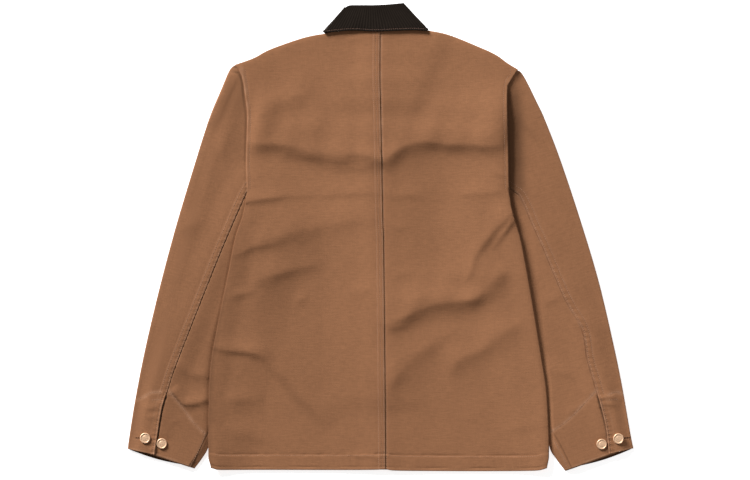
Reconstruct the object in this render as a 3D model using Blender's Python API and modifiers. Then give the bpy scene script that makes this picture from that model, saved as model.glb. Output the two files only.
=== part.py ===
"""Chore jacket of duck canvas with a corduroy collar, laid flat on its front with its back upward.

+Z is up and +Y points to the collar. Lengths are millimetres until a mesh is made. The origin is
the middle of the jacket's outline, on the surface that it lies on. "Left" is the -X side.

Layers, from the surface upward: collar leaves and front buttons, fronts, back, collar fall.
Each sleeve is a flat tube of two panels. Its cap ends inside the armhole, and lower down the
body's side lies over the sleeve's inner fold.
"""

import math
from collections import namedtuple

import bpy
import numpy as np

MM = 0.001
TURN_MERGE = 0.00001
BEND_SHARE = 1.0 - math.cos(math.radians(45.0))

# Cloth and the room between layers.
WALL = 1.2
COLLAR_WALL = 1.6
SEAM_GAP = 0.4
AIR = 0.9
LAP = 11.0
LAP_RISE = WALL + SEAM_GAP
LAP_RUN = 34.0
SLEEVE_LAP_RISE = WALL + 0.7
EDGE_ROLL = 2.0
EDGE_STEP = 2.0
EDGE_AIR = 1.2
EDGE_AIR_LEVEL = 6.0
EDGE_AIR_RUN = 40.0
HEM_CLEAR = 0.3
ARMHOLE_INSET = 8.0
ARMHOLE_RISE = 2.7
ARMHOLE_LEVEL = 12.0
ARMHOLE_RUN = 62.0

# Heights in plan of the body's side: hem, underarm, shoulder point and armhole's top.
HEM_Y = -377.0
HEM_LOW = -381.0
HEM_TURN_X = 262.0
HEM_TURN_Y = -380.0
UNDERARM_Y = 77.0
SIDE_TOP = 262.0
ARMHOLE_TOP = 272.0
BEYOND_SLEEVES = 430.0

# Divisions of the sheets.
BACK_COLUMNS = 18
BACK_ROWS = 42
FRONT_COLUMNS = 9
FRONT_ROWS = 22
SLEEVE_ROWS = 22
FALL_COLUMNS = 13
LEAF_COLUMNS = 6
FALL_ROWS = 6
STAND_ROWS = 5

# Sleeve tube: outer height where pressed flat, and how much it swells between its folds.
SLEEVE_FLAT = 2 * WALL + 1.4
SLEEVE_SWELL = 3.0
SWELL_RUN = 34.0
SLEEVE_LIFT = SLEEVE_FLAT + 0.6
LIFT_LEVEL = 14.0
LIFT_FOOT = 86.0
FRONT_SEAM_LOW = 0.25
FRONT_SEAM_HIGH = 0.9
FREE_FROM = -26.0
FREE_TO = 4.0
FOLD_START = 3.0

# Edges of the fronts: distance inside the back's edge, and the turn below the armhole.
FRONT_INSET = WALL + 0.5
UNDERARM_TURN = 50.0
UNDERARM_DIP = 15.0
FRONT_SHOULDER = slice(5, -8)

# Front closure, on the hidden side.
OVERLAP = 12.0
OVERLAP_LEVEL = 15.0
OVERLAP_FOOT = 32.0
RAIL_LIFT = 2.3
RAIL_LEVEL = 14.0
RAIL_FOOT = 30.0
RAIL_BOTTOM = -255.0
RAIL_TOP = 250.0
RAIL_END = 40.0
CROWN_LEVEL = 18.0
CROWN_RUN = 100.0
CROWN_TOP = 285.0
CROWN_END = 38.0
NECK_Y = 338.0
NECK_RUN = 30.0
NECK_STEP = 0.5
NECK_DEPTH = 283.0

# Buttons: turned discs with a raised rim.
CUFF_BUTTON_RADIUS = 8.5
CUFF_BUTTON_HEIGHT = 3.2
FRONT_BUTTON_RADIUS = 8.5
FRONT_BUTTON_HEIGHT = 2.0
FRONT_BUTTON_ROWS = (225.0, 80.0, -65.0, -210.0)
CUFF_BUTTON_STEPS = 16
FRONT_BUTTON_STEPS = 12

# Collar levels, from the surface upward.
LEAF_CLEAR = 0.4
LEAF_LIFT = COLLAR_WALL + LEAF_CLEAR
LEAF_LEVEL = 10.0
LEAF_FOOT = 46.0
FALL_RISE = 1.3
NECK_AIR = 0.8
COLLAR_FOLD = (2 * COLLAR_WALL + LEAF_CLEAR) / 2
COLLAR_TOP = 2 * (2 * COLLAR_WALL + LEAF_CLEAR) + NECK_AIR
COLLAR_MIDDLE = COLLAR_TOP / 2

# Colours, as linear values.
CANVAS = (0.30, 0.150, 0.078)
CORDUROY = (0.020, 0.016, 0.013)
BRASS = (0.60, 0.36, 0.16)

Body = namedtuple("Body", "y left right")
BODY = (
    Body(-377, -276, 271),
    Body(-366, -280, 274),
    Body(-320, -280, 275),
    Body(-250, -279, 272),
    Body(-200, -275, 265),
    Body(-150, -266, 256),
    Body(-100, -256, 246),
    Body(-50, -246, 237),
    Body(0, -236, 227),
    Body(38, -223, 215),
    Body(77, -218, 209),
    Body(120, -219, 208),
    Body(160, -218, 207),
    Body(200, -217, 206),
    Body(232, -221, 206),
    Body(250, -223, 208),
    Body(262, -226, 217),
)

Point = namedtuple("Point", "x y")
SHOULDER_LEFT = (
    Point(-236, 280),
    Point(-206, 291),
    Point(-182, 304),
    Point(-138, 320),
    Point(-112, 327),
    Point(-87, 331),
)
SHOULDER_RIGHT = (
    Point(224, 272),
    Point(206, 283),
    Point(188, 296),
    Point(160, 309),
    Point(120, 326),
    Point(70, 333),
)
NECK_LEFT = (Point(-87, 331), Point(-76, 338), Point(-40, 341), Point(-1, 342))
NECK_RIGHT = (Point(70, 333), Point(60, 339), Point(34, 342), Point(-1, 342))
CENTRE_BACK = (
    Point(8, -379),
    Point(8, -226),
    Point(6, -6),
    Point(4, 32),
    Point(1, 138),
    Point(-2, 258),
    Point(-1, 342),
)
HEM_LEFT = (Point(-276, -377), Point(-262, -380), Point(-66, -381), Point(8, -379))
HEM_RIGHT = (Point(8, -379), Point(22, -381), Point(256, -381), Point(271, -377))
FRONT_NECK_LEFT = (Point(-80, 330), Point(-68, 309), Point(-46, 290), Point(-30, NECK_DEPTH))
FRONT_NECK_RIGHT = (Point(64, 331), Point(56, 309), Point(43, 290), Point(30, NECK_DEPTH))

# Sleeve sections, from the cap to the cuff: outer fold, elbow seam and inner fold.
Section = namedtuple("Section", "outer_x outer_y seam_x seam_y inner_x inner_y")
SLEEVE_LEFT = (
    Section(-230, 278, -210, 84, -177, 7),
    Section(-246, 271, -221, 65, -190, -24),
    Section(-259, 241, -235, 34, -206, -62),
    Section(-280, 190, -259, -22, -224, -104),
    Section(-306, 108, -285, -89, -239, -160),
    Section(-335, 11, -311, -156, -252, -218),
    Section(-361, -87, -335, -218, -262, -268),
    Section(-384, -185, -346, -248, -271, -315),
    Section(-400, -267, -356, -280, -281, -345),
    Section(-410, -330, -363, -322, -291, -362),
    Section(-412, -346, -368, -355, -303, -378),
)
SLEEVE_RIGHT = (
    Section(218, 271, 201, 84, 170, 7),
    Section(231, 265, 215, 75, 182, -22),
    Section(256, 216, 229, 62, 196, -54),
    Section(268, 190, 247, 21, 213, -92),
    Section(293, 125, 266, -21, 228, -135),
    Section(325, 29, 299, -99, 245, -194),
    Section(355, -71, 328, -151, 258, -244),
    Section(378, -168, 337, -200, 267, -290),
    Section(393, -240, 350, -245, 275, -342),
    Section(407, -320, 366, -305, 286, -362),
    Section(412, -345, 372, -354, 301, -382),
)
CUFF_MOUTH = 2.4

# Soft ridges of the back. Each is steeper on the side away from the light, "down".
Fold = namedtuple("Fold", "x0 y0 x1 y1 bow up down height")
BACK_FOLDS = (
    Fold(-190, 196, -90, 240, 4, 26, 12, 0.9),
    Fold(-214, 160, -9, 120, -6, 48, 15, 2.2),
    Fold(-9, 120, 73, 160, 8, 40, 15, 1.8),
    Fold(60, 158, 200, 150, -5, 44, 15, 2.0),
    Fold(-218, 60, -9, 72, -3, 20, 8, 1.4),
    Fold(7, 74, 60, 68, -2, 14, 8, 0.8),
    Fold(-229, -30, -9, 30, -6, 34, 12, 1.6),
    Fold(-213, -72, -107, -36, -5, 22, 10, 1.3),
    Fold(-262, -182, -175, -208, 9, 26, 11, 1.5),
    Fold(-180, -206, -82, -288, -6, 28, 12, 1.5),
    Fold(-253, -314, -188, -340, 2, 20, 11, 1.2),
    Fold(24, -128, 150, -100, -4, 30, 11, 1.8),
    Fold(150, -100, 213, -56, -4, 26, 11, 1.8),
    Fold(150, -70, 213, 30, 14, 22, 12, 1.4),
    Fold(24, -262, 121, -155, 6, 34, 18, 1.2),
    Fold(121, -212, 227, -146, 5, 36, 20, 1.2),
    Fold(205, 70, 206, 245, 3, 20, 20, 2.4),
    Fold(-215, 90, -218, 250, -2, 10, 10, 0.9),
)
SLEEVE_FOLDS = (
    Fold(-238, 242, -256, 141, -6, 14, 16, 1.2),
    Fold(-325, 20, -262, -4, 6, 26, 18, 1.0),
    Fold(-338, -200, -286, -222, -3, 18, 10, 1.1),
    Fold(-340, -246, -286, -264, -7, 16, 8, 1.5),
    Fold(262, -214, 330, -224, 4, 18, 10, 1.1),
    Fold(262, -104, 310, -92, 3, 22, 14, 0.9),
    Fold(310, -132, 362, -146, 3, 20, 12, 0.9),
    Fold(236, 190, 262, 60, 6, 22, 22, 1.0),
)

# Cuff buttons: on the outer panel's tab (raised by its lap) or on the inner panel.
CuffButton = namedtuple("CuffButton", "name x y")
CUFF_BUTTONS = (
    CuffButton("cuff_button_left_tab", -383, -328),
    CuffButton("cuff_button_left_panel", -356, -337),
    CuffButton("cuff_button_right_tab", 387, -329),
    CuffButton("cuff_button_right_panel", 360, -338),
)

# Collar in plan: its corners, then the lines from side to side and from side to front end.
SLANT_LEFT = (Point(-94, 334), Point(-51, 378))
SLANT_RIGHT = (Point(80, 335), Point(37, 382))
FALL_HEM = (Point(-48, 335), Point(-8, 333), Point(50, 334))
FALL_FOLD = (Point(-20, 378), Point(10, 379))
LEAF_HEM_LEFT = (Point(-76, 288), Point(-50, 239))
LEAF_HEM_RIGHT = (Point(66, 288), Point(48, 239))
LEAF_FOLD_LEFT = (Point(-20, 340), Point(-4, 301))
LEAF_FOLD_RIGHT = (Point(14, 340), Point(4, 301))
STAND_CORNER_LEFT = Point(-70, 341.5)
STAND_CORNER_RIGHT = Point(56, 341.5)
STAND_BACK = (Point(-40, 343), Point(-1, 344), Point(34, 344))
STAND_LEFT = (Point(-66, 315), Point(-44, 293), Point(-6, 285.5))
STAND_RIGHT = (Point(54, 315), Point(42, 293), Point(6, 285.5))
LEAF_RING = (Point(-94, 334), Point(-50, 239), Point(48, 239), Point(80, 335), Point(0, 400))


# ---------------------------------------------------------------- lines and distances


def smooth(low, high, value):
    """0 below low, 1 above high, and an even curve between them."""
    share = np.clip((value - low) / (high - low), 0.0, 1.0)
    return share * share * (3.0 - 2.0 * share)


def spline(points, steps=12):
    """A smooth run of points through the given ones."""
    points = np.array(points, float)
    ends = np.vstack([2 * points[0] - points[1], points, 2 * points[-1] - points[-2]])
    t = np.linspace(0.0, 1.0, steps, endpoint=False)[:, None]
    runs = []
    for a, b, c, d in zip(ends, ends[1:], ends[2:], ends[3:]):
        cubic = (3 * b - a - 3 * c + d) * t**3
        square = (2 * a - 5 * b + 4 * c - d) * t**2
        runs.append(0.5 * (2 * b + (c - a) * t + square + cubic))
    return np.vstack(runs + [points[-1:]])


class Line:
    """A line in plan, read by the share of its length."""

    def __init__(self, points):
        self.points = np.array(points, float)
        steps = np.linalg.norm(np.diff(self.points, axis=0), axis=1)
        self.share = np.concatenate([[0.0], np.cumsum(steps)]) / steps.sum()
        self.length = steps.sum()

    def at(self, share):
        x = np.interp(share, self.share, self.points[:, 0])
        y = np.interp(share, self.share, self.points[:, 1])
        return np.stack([x, y], axis=-1)

    def reversed(self):
        return Line(self.points[::-1])

    def shifted(self, distance):
        """The line moved to its left by a distance."""
        along = np.gradient(self.points, axis=0)
        along /= np.linalg.norm(along, axis=1)[:, None]
        return Line(self.points + distance * np.column_stack([-along[:, 1], along[:, 0]]))


def curve(points):
    return Line(spline(points))


def joined(*lines):
    return Line(np.vstack([lines[0].points] + [line.points[1:] for line in lines[1:]]))


def distance(points, line):
    """The distance from each point to a line."""
    start = line.points[:-1]
    run = line.points[1:] - start
    offset = points[:, None, :] - start
    share = np.clip((offset * run).sum(-1) / (run * run).sum(-1), 0.0, 1.0)
    return np.linalg.norm(offset - share[..., None] * run, axis=-1).min(axis=1)


def outside(points, ring):
    """The distance from each point to a closed ring, less than 0 inside it."""
    start = np.array(ring, float)
    end = np.roll(start, -1, axis=0)
    x, y = points[:, 0, None], points[:, 1, None]
    crosses = (start[:, 1] > y) != (end[:, 1] > y)
    rise = np.where(end[:, 1] == start[:, 1], 1.0, end[:, 1] - start[:, 1])
    meets = start[:, 0] + (y - start[:, 1]) * (end[:, 0] - start[:, 0]) / rise
    within = (crosses & (x < meets)).sum(axis=1) % 2 == 1
    gap = distance(points, Line(np.vstack([start, start[:1]])))
    return np.where(within, -gap, gap)


def patch(low, high, left, right, across, along):
    """Points (along, across) of the sheet that four lines bound."""
    u = np.asarray(across)[None, :, None]
    v = np.asarray(along)[:, None, None]
    by_rows = (1 - v) * low.at(across)[None] + v * high.at(across)[None]
    by_columns = (1 - u) * left.at(along)[:, None] + u * right.at(along)[:, None]
    corners = (1 - v) * ((1 - u) * low.at(0.0) + u * low.at(1.0))
    corners = corners + v * ((1 - u) * high.at(0.0) + u * high.at(1.0))
    return by_rows + by_columns - corners


def body_edge(side):
    rows = spline([(getattr(row, side), row.y) for row in BODY])
    return Line(rows)


EDGE = {"left": body_edge("left"), "right": body_edge("right")}
INWARD = {"left": 1.0, "right": -1.0}
SHOULDER = {"left": curve(SHOULDER_LEFT), "right": curve(SHOULDER_RIGHT)}
SECTIONS = {"left": SLEEVE_LEFT, "right": SLEEVE_RIGHT}
NECK = {"left": NECK_LEFT, "right": NECK_RIGHT}
HEM = {"left": HEM_LEFT, "right": HEM_RIGHT}
FRONT_NECK = {"left": FRONT_NECK_LEFT, "right": FRONT_NECK_RIGHT}
CENTRE = curve(CENTRE_BACK)


def edge_x(side, y):
    """The x of the body's outline on one side, at each height."""
    points = EDGE[side].points
    return np.interp(y, points[:, 1], points[:, 0])


def edge_run(side, bottom, top, inset=0.0):
    """The stretch of the body's outline between two heights, moved inward by the inset."""
    heights = np.linspace(bottom, top, 40)
    return Line(np.column_stack([edge_x(side, heights) + INWARD[side] * inset, heights]))


def sleeve_line(side, name):
    """One lengthwise line of a sleeve, from the cuff to the cap."""
    rows = [(getattr(row, name + "_x"), getattr(row, name + "_y")) for row in SECTIONS[side]]
    return curve(rows[::-1])


def hidden_ring(side):
    """The ring round the part of a sleeve that lies under the body."""
    inner = sleeve_line(side, "inner").points
    far = BEYOND_SLEEVES * -INWARD[side]
    armpit = (edge_x(side, UNDERARM_Y) + INWARD[side] * ARMHOLE_INSET, UNDERARM_Y)
    return np.vstack([inner, [armpit], [(far, UNDERARM_Y)], [(far, inner[0, 1])]])


OUTER = {side: sleeve_line(side, "outer") for side in EDGE}
ELBOW = {side: sleeve_line(side, "seam") for side in EDGE}
INNER = {side: sleeve_line(side, "inner") for side in EDGE}
HIDDEN = {side: hidden_ring(side) for side in EDGE}
SIDE_SEAM = {side: edge_run(side, HEM_Y, UNDERARM_Y) for side in EDGE}
ARMHOLE = {side: edge_run(side, UNDERARM_Y, ARMHOLE_TOP) for side in EDGE}


# ---------------------------------------------------------------- heights


def fold_relief(points, folds):
    """The sum of the soft ridges at each point."""
    total = np.zeros(len(points))
    for fold in folds:
        start = np.array([fold.x0, fold.y0], float)
        run = np.array([fold.x1, fold.y1], float) - start
        length = np.hypot(*run)
        ahead = run / length
        aside = np.array([-ahead[1], ahead[0]])
        if aside[1] < 0:
            aside = -aside
        offset = points - start
        share = offset @ ahead / length
        bend = 4.0 * fold.bow * share * (1.0 - share)
        across = offset @ aside - bend
        width = np.where(across > 0, fold.up, fold.down)
        ends = smooth(-0.10, 0.18, share) * (1.0 - smooth(0.82, 1.10, share))
        total += fold.height * np.exp(-((across / width) ** 2)) * ends
    return total


def sleeve_lift(points):
    """How far the fronts ride up over both sleeves."""
    lift = np.zeros(len(points))
    for side, ring in HIDDEN.items():
        gap = outside(points, ring)
        lift = np.maximum(lift, SLEEVE_LIFT * (1.0 - smooth(LIFT_LEVEL, LIFT_FOOT, gap)))
    return lift


def leaf_lift(points):
    """How far the fronts ride up over the collar's leaves."""
    return LEAF_LIFT * (1.0 - smooth(LEAF_LEVEL, LEAF_FOOT, outside(points, LEAF_RING)))


def rail_lift(points, foot):
    """How far the fronts' edges stand up on their buttons."""
    across = 1.0 - smooth(RAIL_LEVEL, foot, np.abs(points[:, 0]))
    low = smooth(RAIL_BOTTOM - RAIL_END, RAIL_BOTTOM, points[:, 1])
    high = 1.0 - smooth(RAIL_TOP, RAIL_TOP + RAIL_END, points[:, 1])
    return RAIL_LIFT * across * low * high


def front_under(points, side):
    """The underside of a front."""
    height = sleeve_lift(points) + leaf_lift(points) + rail_lift(points, RAIL_FOOT)
    if side == "right":
        height += LAP_RISE * (1.0 - smooth(OVERLAP_LEVEL, OVERLAP_FOOT, points[:, 0]))
    return height


def back_under(points):
    """The underside of the back, without its centre seam."""
    near = np.zeros(len(points))
    roll = np.zeros(len(points))
    for side in EDGE:
        to_arm = distance(points, ARMHOLE[side])
        rise = ARMHOLE_RISE * (1.0 - smooth(ARMHOLE_LEVEL, ARMHOLE_RUN, to_arm))
        near = np.maximum(near, rise)
        to_side = distance(points, SIDE_SEAM[side])
        to_top = distance(points, SHOULDER[side])
        to_edge = np.minimum(to_side, to_top)
        roll = np.maximum(roll, 1.0 - smooth(EDGE_AIR_LEVEL, EDGE_AIR_RUN, to_edge))
    lift = (sleeve_lift(points) ** 4 + near**4) ** 0.25
    crown = LAP_RISE * (1.0 - smooth(CROWN_TOP, CROWN_TOP + CROWN_END, points[:, 1]))
    crown = crown * (1.0 - smooth(CROWN_LEVEL, CROWN_RUN, np.abs(points[:, 0])))
    rail = rail_lift(points, CROWN_RUN)
    neck = 1.0 - smooth(0.0, NECK_RUN, NECK_Y - points[:, 1])
    relief = fold_relief(points, BACK_FOLDS) * (1.0 - neck)
    height = WALL + AIR + lift + leaf_lift(points) + crown + rail
    return height + EDGE_AIR * roll * (1.0 - neck) + NECK_STEP * neck + relief


def back_top(points, side):
    """The upper face of one half of the back. The left half laps over the right one."""
    height = back_under(points) + WALL
    if side == "left":
        height = height + LAP_RISE * (1.0 - smooth(LAP + 2.0, LAP + LAP_RUN, distance(points, CENTRE)))
    return height


def sleeve_top(points, side, outer_panel=False):
    """The upper face of a sleeve. The outer panel laps over the inner one at the elbow seam."""
    to_outer = distance(points, OUTER[side])
    to_inner = distance(points, INNER[side])
    depth = INWARD[side] * (points[:, 0] - edge_x(side, points[:, 1]))
    free = 1.0 - smooth(FREE_FROM, FREE_TO, depth)
    swell = smooth(2.0, SWELL_RUN, to_outer) * smooth(2.0, SWELL_RUN, to_inner)
    height = SLEEVE_FLAT + (SLEEVE_SWELL * swell + fold_relief(points, SLEEVE_FOLDS)) * free
    if outer_panel:
        to_seam = distance(points, ELBOW[side])
        height = height + SLEEVE_LAP_RISE * (1.0 - smooth(LAP + 2.0, LAP + LAP_RUN, to_seam))
    return height


# ---------------------------------------------------------------- objects


def clear_scene():
    for item in list(bpy.data.objects):
        bpy.data.objects.remove(item, do_unlink=True)


def make_collection(name):
    collection = bpy.data.collections.new(name)
    bpy.context.scene.collection.children.link(collection)
    return collection


def make_material(name, colour, roughness, metallic=0.0):
    material = bpy.data.materials.new(name)
    material.use_nodes = True
    shader = material.node_tree.nodes["Principled BSDF"]
    shader.inputs["Base Color"].default_value = (*colour, 1.0)
    shader.inputs["Roughness"].default_value = roughness
    shader.inputs["Metallic"].default_value = metallic
    material.diffuse_color = (*colour, 1.0)
    return material


def place(obj, name, material, collection):
    obj.name = name
    obj.data.name = name
    obj.data.materials.append(material)
    for other in list(obj.users_collection):
        other.objects.unlink(obj)
    collection.objects.link(obj)
    return obj


def cloth(name, points, wall, material, collection):
    """A sheet through the points (rows, columns, 3) of its outer face, with its wall inside."""
    rows, columns, _ = points.shape
    bpy.ops.mesh.primitive_grid_add(x_subdivisions=columns - 1, y_subdivisions=rows - 1)
    obj = place(bpy.context.object, name, material, collection)
    obj.data.vertices.foreach_set("co", (points * MM).reshape(-1))
    obj.data.update()
    wall_modifier = obj.modifiers.new("Wall", "SOLIDIFY")
    wall_modifier.thickness = wall * MM
    wall_modifier.offset = -1.0
    wall_modifier.use_even_offset = True
    wall_modifier.use_quality_normals = True
    return obj


def turned(name, profile, location, steps, material, collection):
    """A disc turned about its own upright axis from (radius, height) points."""
    mesh = bpy.data.meshes.new(name)
    verts = [(radius * MM, 0.0, height * MM) for radius, height in profile]
    edges = [(index, index + 1) for index in range(len(profile) - 1)]
    mesh.from_pydata(verts, edges, [])
    obj = bpy.data.objects.new(name, mesh)
    bpy.context.scene.collection.objects.link(obj)
    place(obj, name, material, collection)
    obj.location = [value * MM for value in location]
    screw = obj.modifiers.new("Turn", "SCREW")
    screw.steps = steps
    screw.render_steps = steps
    screw.use_merge_vertices = True
    screw.merge_threshold = TURN_MERGE
    screw.use_normal_calculate = True
    return obj


# ---------------------------------------------------------------- body


def rolled_columns(points, heights, bottom, mask, drop):
    """Turns the last columns of a sheet over its edge, where the mask is 1.

    The columns count inward from the edge: its foot, its side, the bend and the start of the
    bend. Where the mask is 0 they lie flat.
    """
    flat = np.array([0.0, 1.0, 2.0, 3.0]) * EDGE_STEP
    bent = np.array([0.0, 0.0, BEND_SHARE, 1.0]) * EDGE_ROLL
    edge = points[:, 0].copy()
    ahead = points[:, 4] - edge
    ahead /= np.linalg.norm(ahead, axis=1)[:, None]
    for index in range(4):
        step = flat[index] * (1.0 - mask) + bent[index] * mask
        points[:, index] = edge + ahead * step[:, None]
        heights[:, index] = drop(points[:, index])
    top = heights[:, 3].copy()
    turned_to = (bottom, top - EDGE_ROLL, top - BEND_SHARE * EDGE_ROLL)
    for index, height in enumerate(turned_to):
        heights[:, index] += mask * (np.minimum(height, top) - heights[:, index])


def back_panel(side, material, collection):
    tip = Line([EDGE[side].points[-1], SHOULDER[side].points[0]])
    outer = joined(edge_run(side, HEM_Y, SIDE_TOP), tip)
    high = joined(SHOULDER[side], curve(NECK[side]))
    low = curve(HEM[side])
    middle = CENTRE
    if side == "right":
        middle = CENTRE.shifted(LAP)
        low = joined(Line([middle.points[0], low.points[0]]), low).reversed()
        high = joined(high, Line([high.points[-1], middle.points[-1]]))
    # Columns count from the outer edge inward, and rows from the hem upward. The first columns
    # and the last rows are close together for the rolled edge.
    columns = np.concatenate([[0.0, 0.005, 0.01, 0.02], np.linspace(0.06, 1.0, BACK_COLUMNS - 3)])
    rows = np.concatenate([np.linspace(0.0, 0.965, BACK_ROWS - 3), [0.985, 0.99, 0.995, 1.0]])
    plan = patch(low, high, outer, middle, columns, rows)

    def top_height(points):
        return back_top(points, side)

    heights = top_height(plan.reshape(-1, 2)).reshape(plan.shape[:2])
    to_underarm = UNDERARM_Y - plan[:, 0, 1]
    side_mask = smooth(-6.0, 14.0, to_underarm)
    bottom = front_under(plan[:, 0], side) + HEM_CLEAR
    rolled_columns(plan, heights, bottom, side_mask, top_height)
    # The same along the shoulder, with the rows taken as columns.
    flipped = np.swapaxes(plan, 0, 1)[:, ::-1].copy()
    high_rows = heights.T[:, ::-1].copy()
    shoulder_share = SHOULDER[side].length / high.length
    shoulder_mask = 1.0 - smooth(shoulder_share - 0.05, shoulder_share, columns)
    bottom = front_under(flipped[:, 0], side) + HEM_CLEAR
    rolled_columns(flipped, high_rows, bottom, shoulder_mask, top_height)
    plan = np.swapaxes(flipped[:, ::-1], 0, 1)
    heights = high_rows[:, ::-1].T
    points = np.concatenate([plan, heights[..., None]], axis=-1)
    if side == "right":
        points = points[:, ::-1]
    return cloth("back_" + side, points, WALL, material, collection)


def front_panel(side, material, collection):
    inward = INWARD[side]
    lower = edge_run(side, HEM_Y, UNDERARM_Y - UNDERARM_TURN, FRONT_INSET)
    upper = edge_run(side, UNDERARM_Y - UNDERARM_DIP, SIDE_TOP, ARMHOLE_INSET + 2.0 * SEAM_GAP)
    shoulder = Line(SHOULDER[side].shifted(-inward * FRONT_INSET).points[FRONT_SHOULDER])
    neck = curve(FRONT_NECK[side])
    outer = joined(lower, Line([lower.points[-1], upper.points[0]]), upper)
    outer = Line(np.vstack([outer.points, shoulder.points[:1]]))
    high = joined(shoulder, Line([shoulder.points[-1], neck.points[0]]), neck)
    # The strip by the centre front has straight columns.
    strip_x = -inward * RAIL_FOOT
    hem = Line([lower.points[0], (-inward * HEM_TURN_X, HEM_TURN_Y), (strip_x, HEM_LOW)])
    middle = Line([(strip_x, HEM_LOW), (strip_x, NECK_DEPTH)])
    columns = np.concatenate([[0.0, 0.03], np.linspace(0.1, 1.0, FRONT_COLUMNS)])
    rows = np.linspace(0.0, 1.0, FRONT_ROWS)
    plan = patch(hem, high, outer, middle, columns, rows)
    strip = [-inward * RAIL_LEVEL, 0.0, inward * OVERLAP]
    if side == "right":
        strip = [(RAIL_LEVEL + RAIL_FOOT) / 2.0] + strip
    extra = [np.column_stack([np.full(len(rows), x), plan[:, -1, 1]]) for x in strip]
    plan = np.concatenate([plan] + [line[:, None] for line in extra], axis=1)
    heights = front_under(plan.reshape(-1, 2), side).reshape(plan.shape[:2])
    points = np.concatenate([plan, heights[..., None]], axis=-1)
    if side == "left":
        points = points[:, ::-1]
    return cloth("front_" + side, points, WALL, material, collection)


# ---------------------------------------------------------------- sleeves


def fold_over(upper, lower, fold, top_height):
    """Joins an upper and a lower sheet, given from the fold inward, by a round bend.

    Returns the points from the upper sheet's far side, round the fold, to the lower one's.
    """
    ahead = upper[:, 0] - fold
    ahead /= np.linalg.norm(ahead, axis=1)[:, None]
    start = top_height(fold + FOLD_START * ahead)
    radius = (start / 2.0)[:, None]
    bend = []
    for angle in np.radians([0.0, 45.0, 90.0, 135.0, 180.0]):
        plan = fold + ahead * radius * (1.0 - math.sin(angle))
        bend.append(np.hstack([plan, radius * (1.0 + math.cos(angle))]))
    up = np.dstack([upper, top_height(upper.reshape(-1, 2)).reshape(upper.shape[:2])])
    low = np.dstack([lower, np.zeros(lower.shape[:2])])
    return np.concatenate([up[:, ::-1], np.stack(bend, axis=1), low], axis=1)


def cuff_mouth(start, end):
    """The lower layer's edge at the cuff, which bows out below the upper one."""
    share = np.linspace(0.0, 1.0, 9)[:, None]
    bow = np.hstack([0.0 * share, -CUFF_MOUTH * np.sin(np.pi * share)])
    return Line(start + (end - start) * share + bow)


def front_seam(side):
    """The sleeve's second seam, on its underside, nearer the elbow line toward the cap."""
    share = np.linspace(0.0, 1.0, 30)
    blend = (FRONT_SEAM_LOW + (FRONT_SEAM_HIGH - FRONT_SEAM_LOW) * share**2)[:, None]
    return Line(INNER[side].at(share) + (ELBOW[side].at(share) - INNER[side].at(share)) * blend)


def sleeve_outer(side, material, collection):
    inward = INWARD[side]
    rows = np.linspace(0.0, 1.0, SLEEVE_ROWS)
    cap = edge_run(side, OUTER[side].at(1.0)[1], ELBOW[side].at(1.0)[1], ARMHOLE_INSET)
    cap = Line(np.vstack([OUTER[side].at(1.0)[None], cap.points[1:]]))
    seam = front_seam(side)
    upper_columns = np.linspace(0.12, 1.0, 8)
    lower_columns = np.linspace(0.10, 1.0, 7)
    cuff = Line([OUTER[side].at(0.0), ELBOW[side].at(0.0)])
    upper = patch(cuff, cap, OUTER[side], ELBOW[side], upper_columns, rows)
    reach = edge_run(side, cap.points[0, 1], seam.at(1.0)[1], ARMHOLE_INSET)
    reach = Line(np.vstack([OUTER[side].at(1.0)[None], reach.points[1:-1], seam.at(1.0)[None]]))
    mouth = cuff_mouth(OUTER[side].at(0.0), seam.at(0.0))
    lower = patch(mouth, reach, OUTER[side], seam.shifted(inward * SEAM_GAP / 2), lower_columns, rows)
    fold = OUTER[side].at(rows)
    points = fold_over(upper, lower, fold, lambda plan: sleeve_top(plan, side, True))
    if side == "left":
        points = points[:, ::-1]
    return cloth(f"sleeve_{side}_outer", points, WALL, material, collection)


def sleeve_inner(side, material, collection):
    inward = INWARD[side]
    rows = np.linspace(0.0, 1.0, SLEEVE_ROWS)
    seam = front_seam(side).shifted(-inward * SEAM_GAP / 2)
    under = ELBOW[side].shifted(inward * LAP)
    low = Line([INNER[side].at(0.0), under.at(0.0)])
    high = Line([INNER[side].at(1.0), under.at(1.0)])
    upper = patch(low, high, INNER[side], under, np.linspace(0.16, 1.0, 5), rows)
    low = Line([INNER[side].at(0.0), seam.at(0.0)])
    high = Line([INNER[side].at(1.0), seam.at(1.0)])
    lower = patch(low, high, INNER[side], seam, np.linspace(0.4, 1.0, 2), rows)
    fold = INNER[side].at(rows)
    points = fold_over(upper, lower, fold, lambda plan: sleeve_top(plan, side))
    if side == "right":
        points = points[:, ::-1]
    return cloth(f"sleeve_{side}_inner", points, WALL, material, collection)


# ---------------------------------------------------------------- collar


def collar_lane(corners, left, back, right, back_columns, leaf_columns):
    """One line round the collar in plan, from the left leaf's end to the right leaf's end."""
    left_leaf = curve([corners[0], *left]).at(leaf_columns)[::-1]
    middle = curve([corners[0], *back, corners[1]]).at(back_columns)
    right_leaf = curve([corners[1], *right]).at(leaf_columns)
    turn = np.ones((3, 1))
    return np.vstack([left_leaf, turn * corners[0], middle, turn * corners[1], right_leaf])


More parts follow.
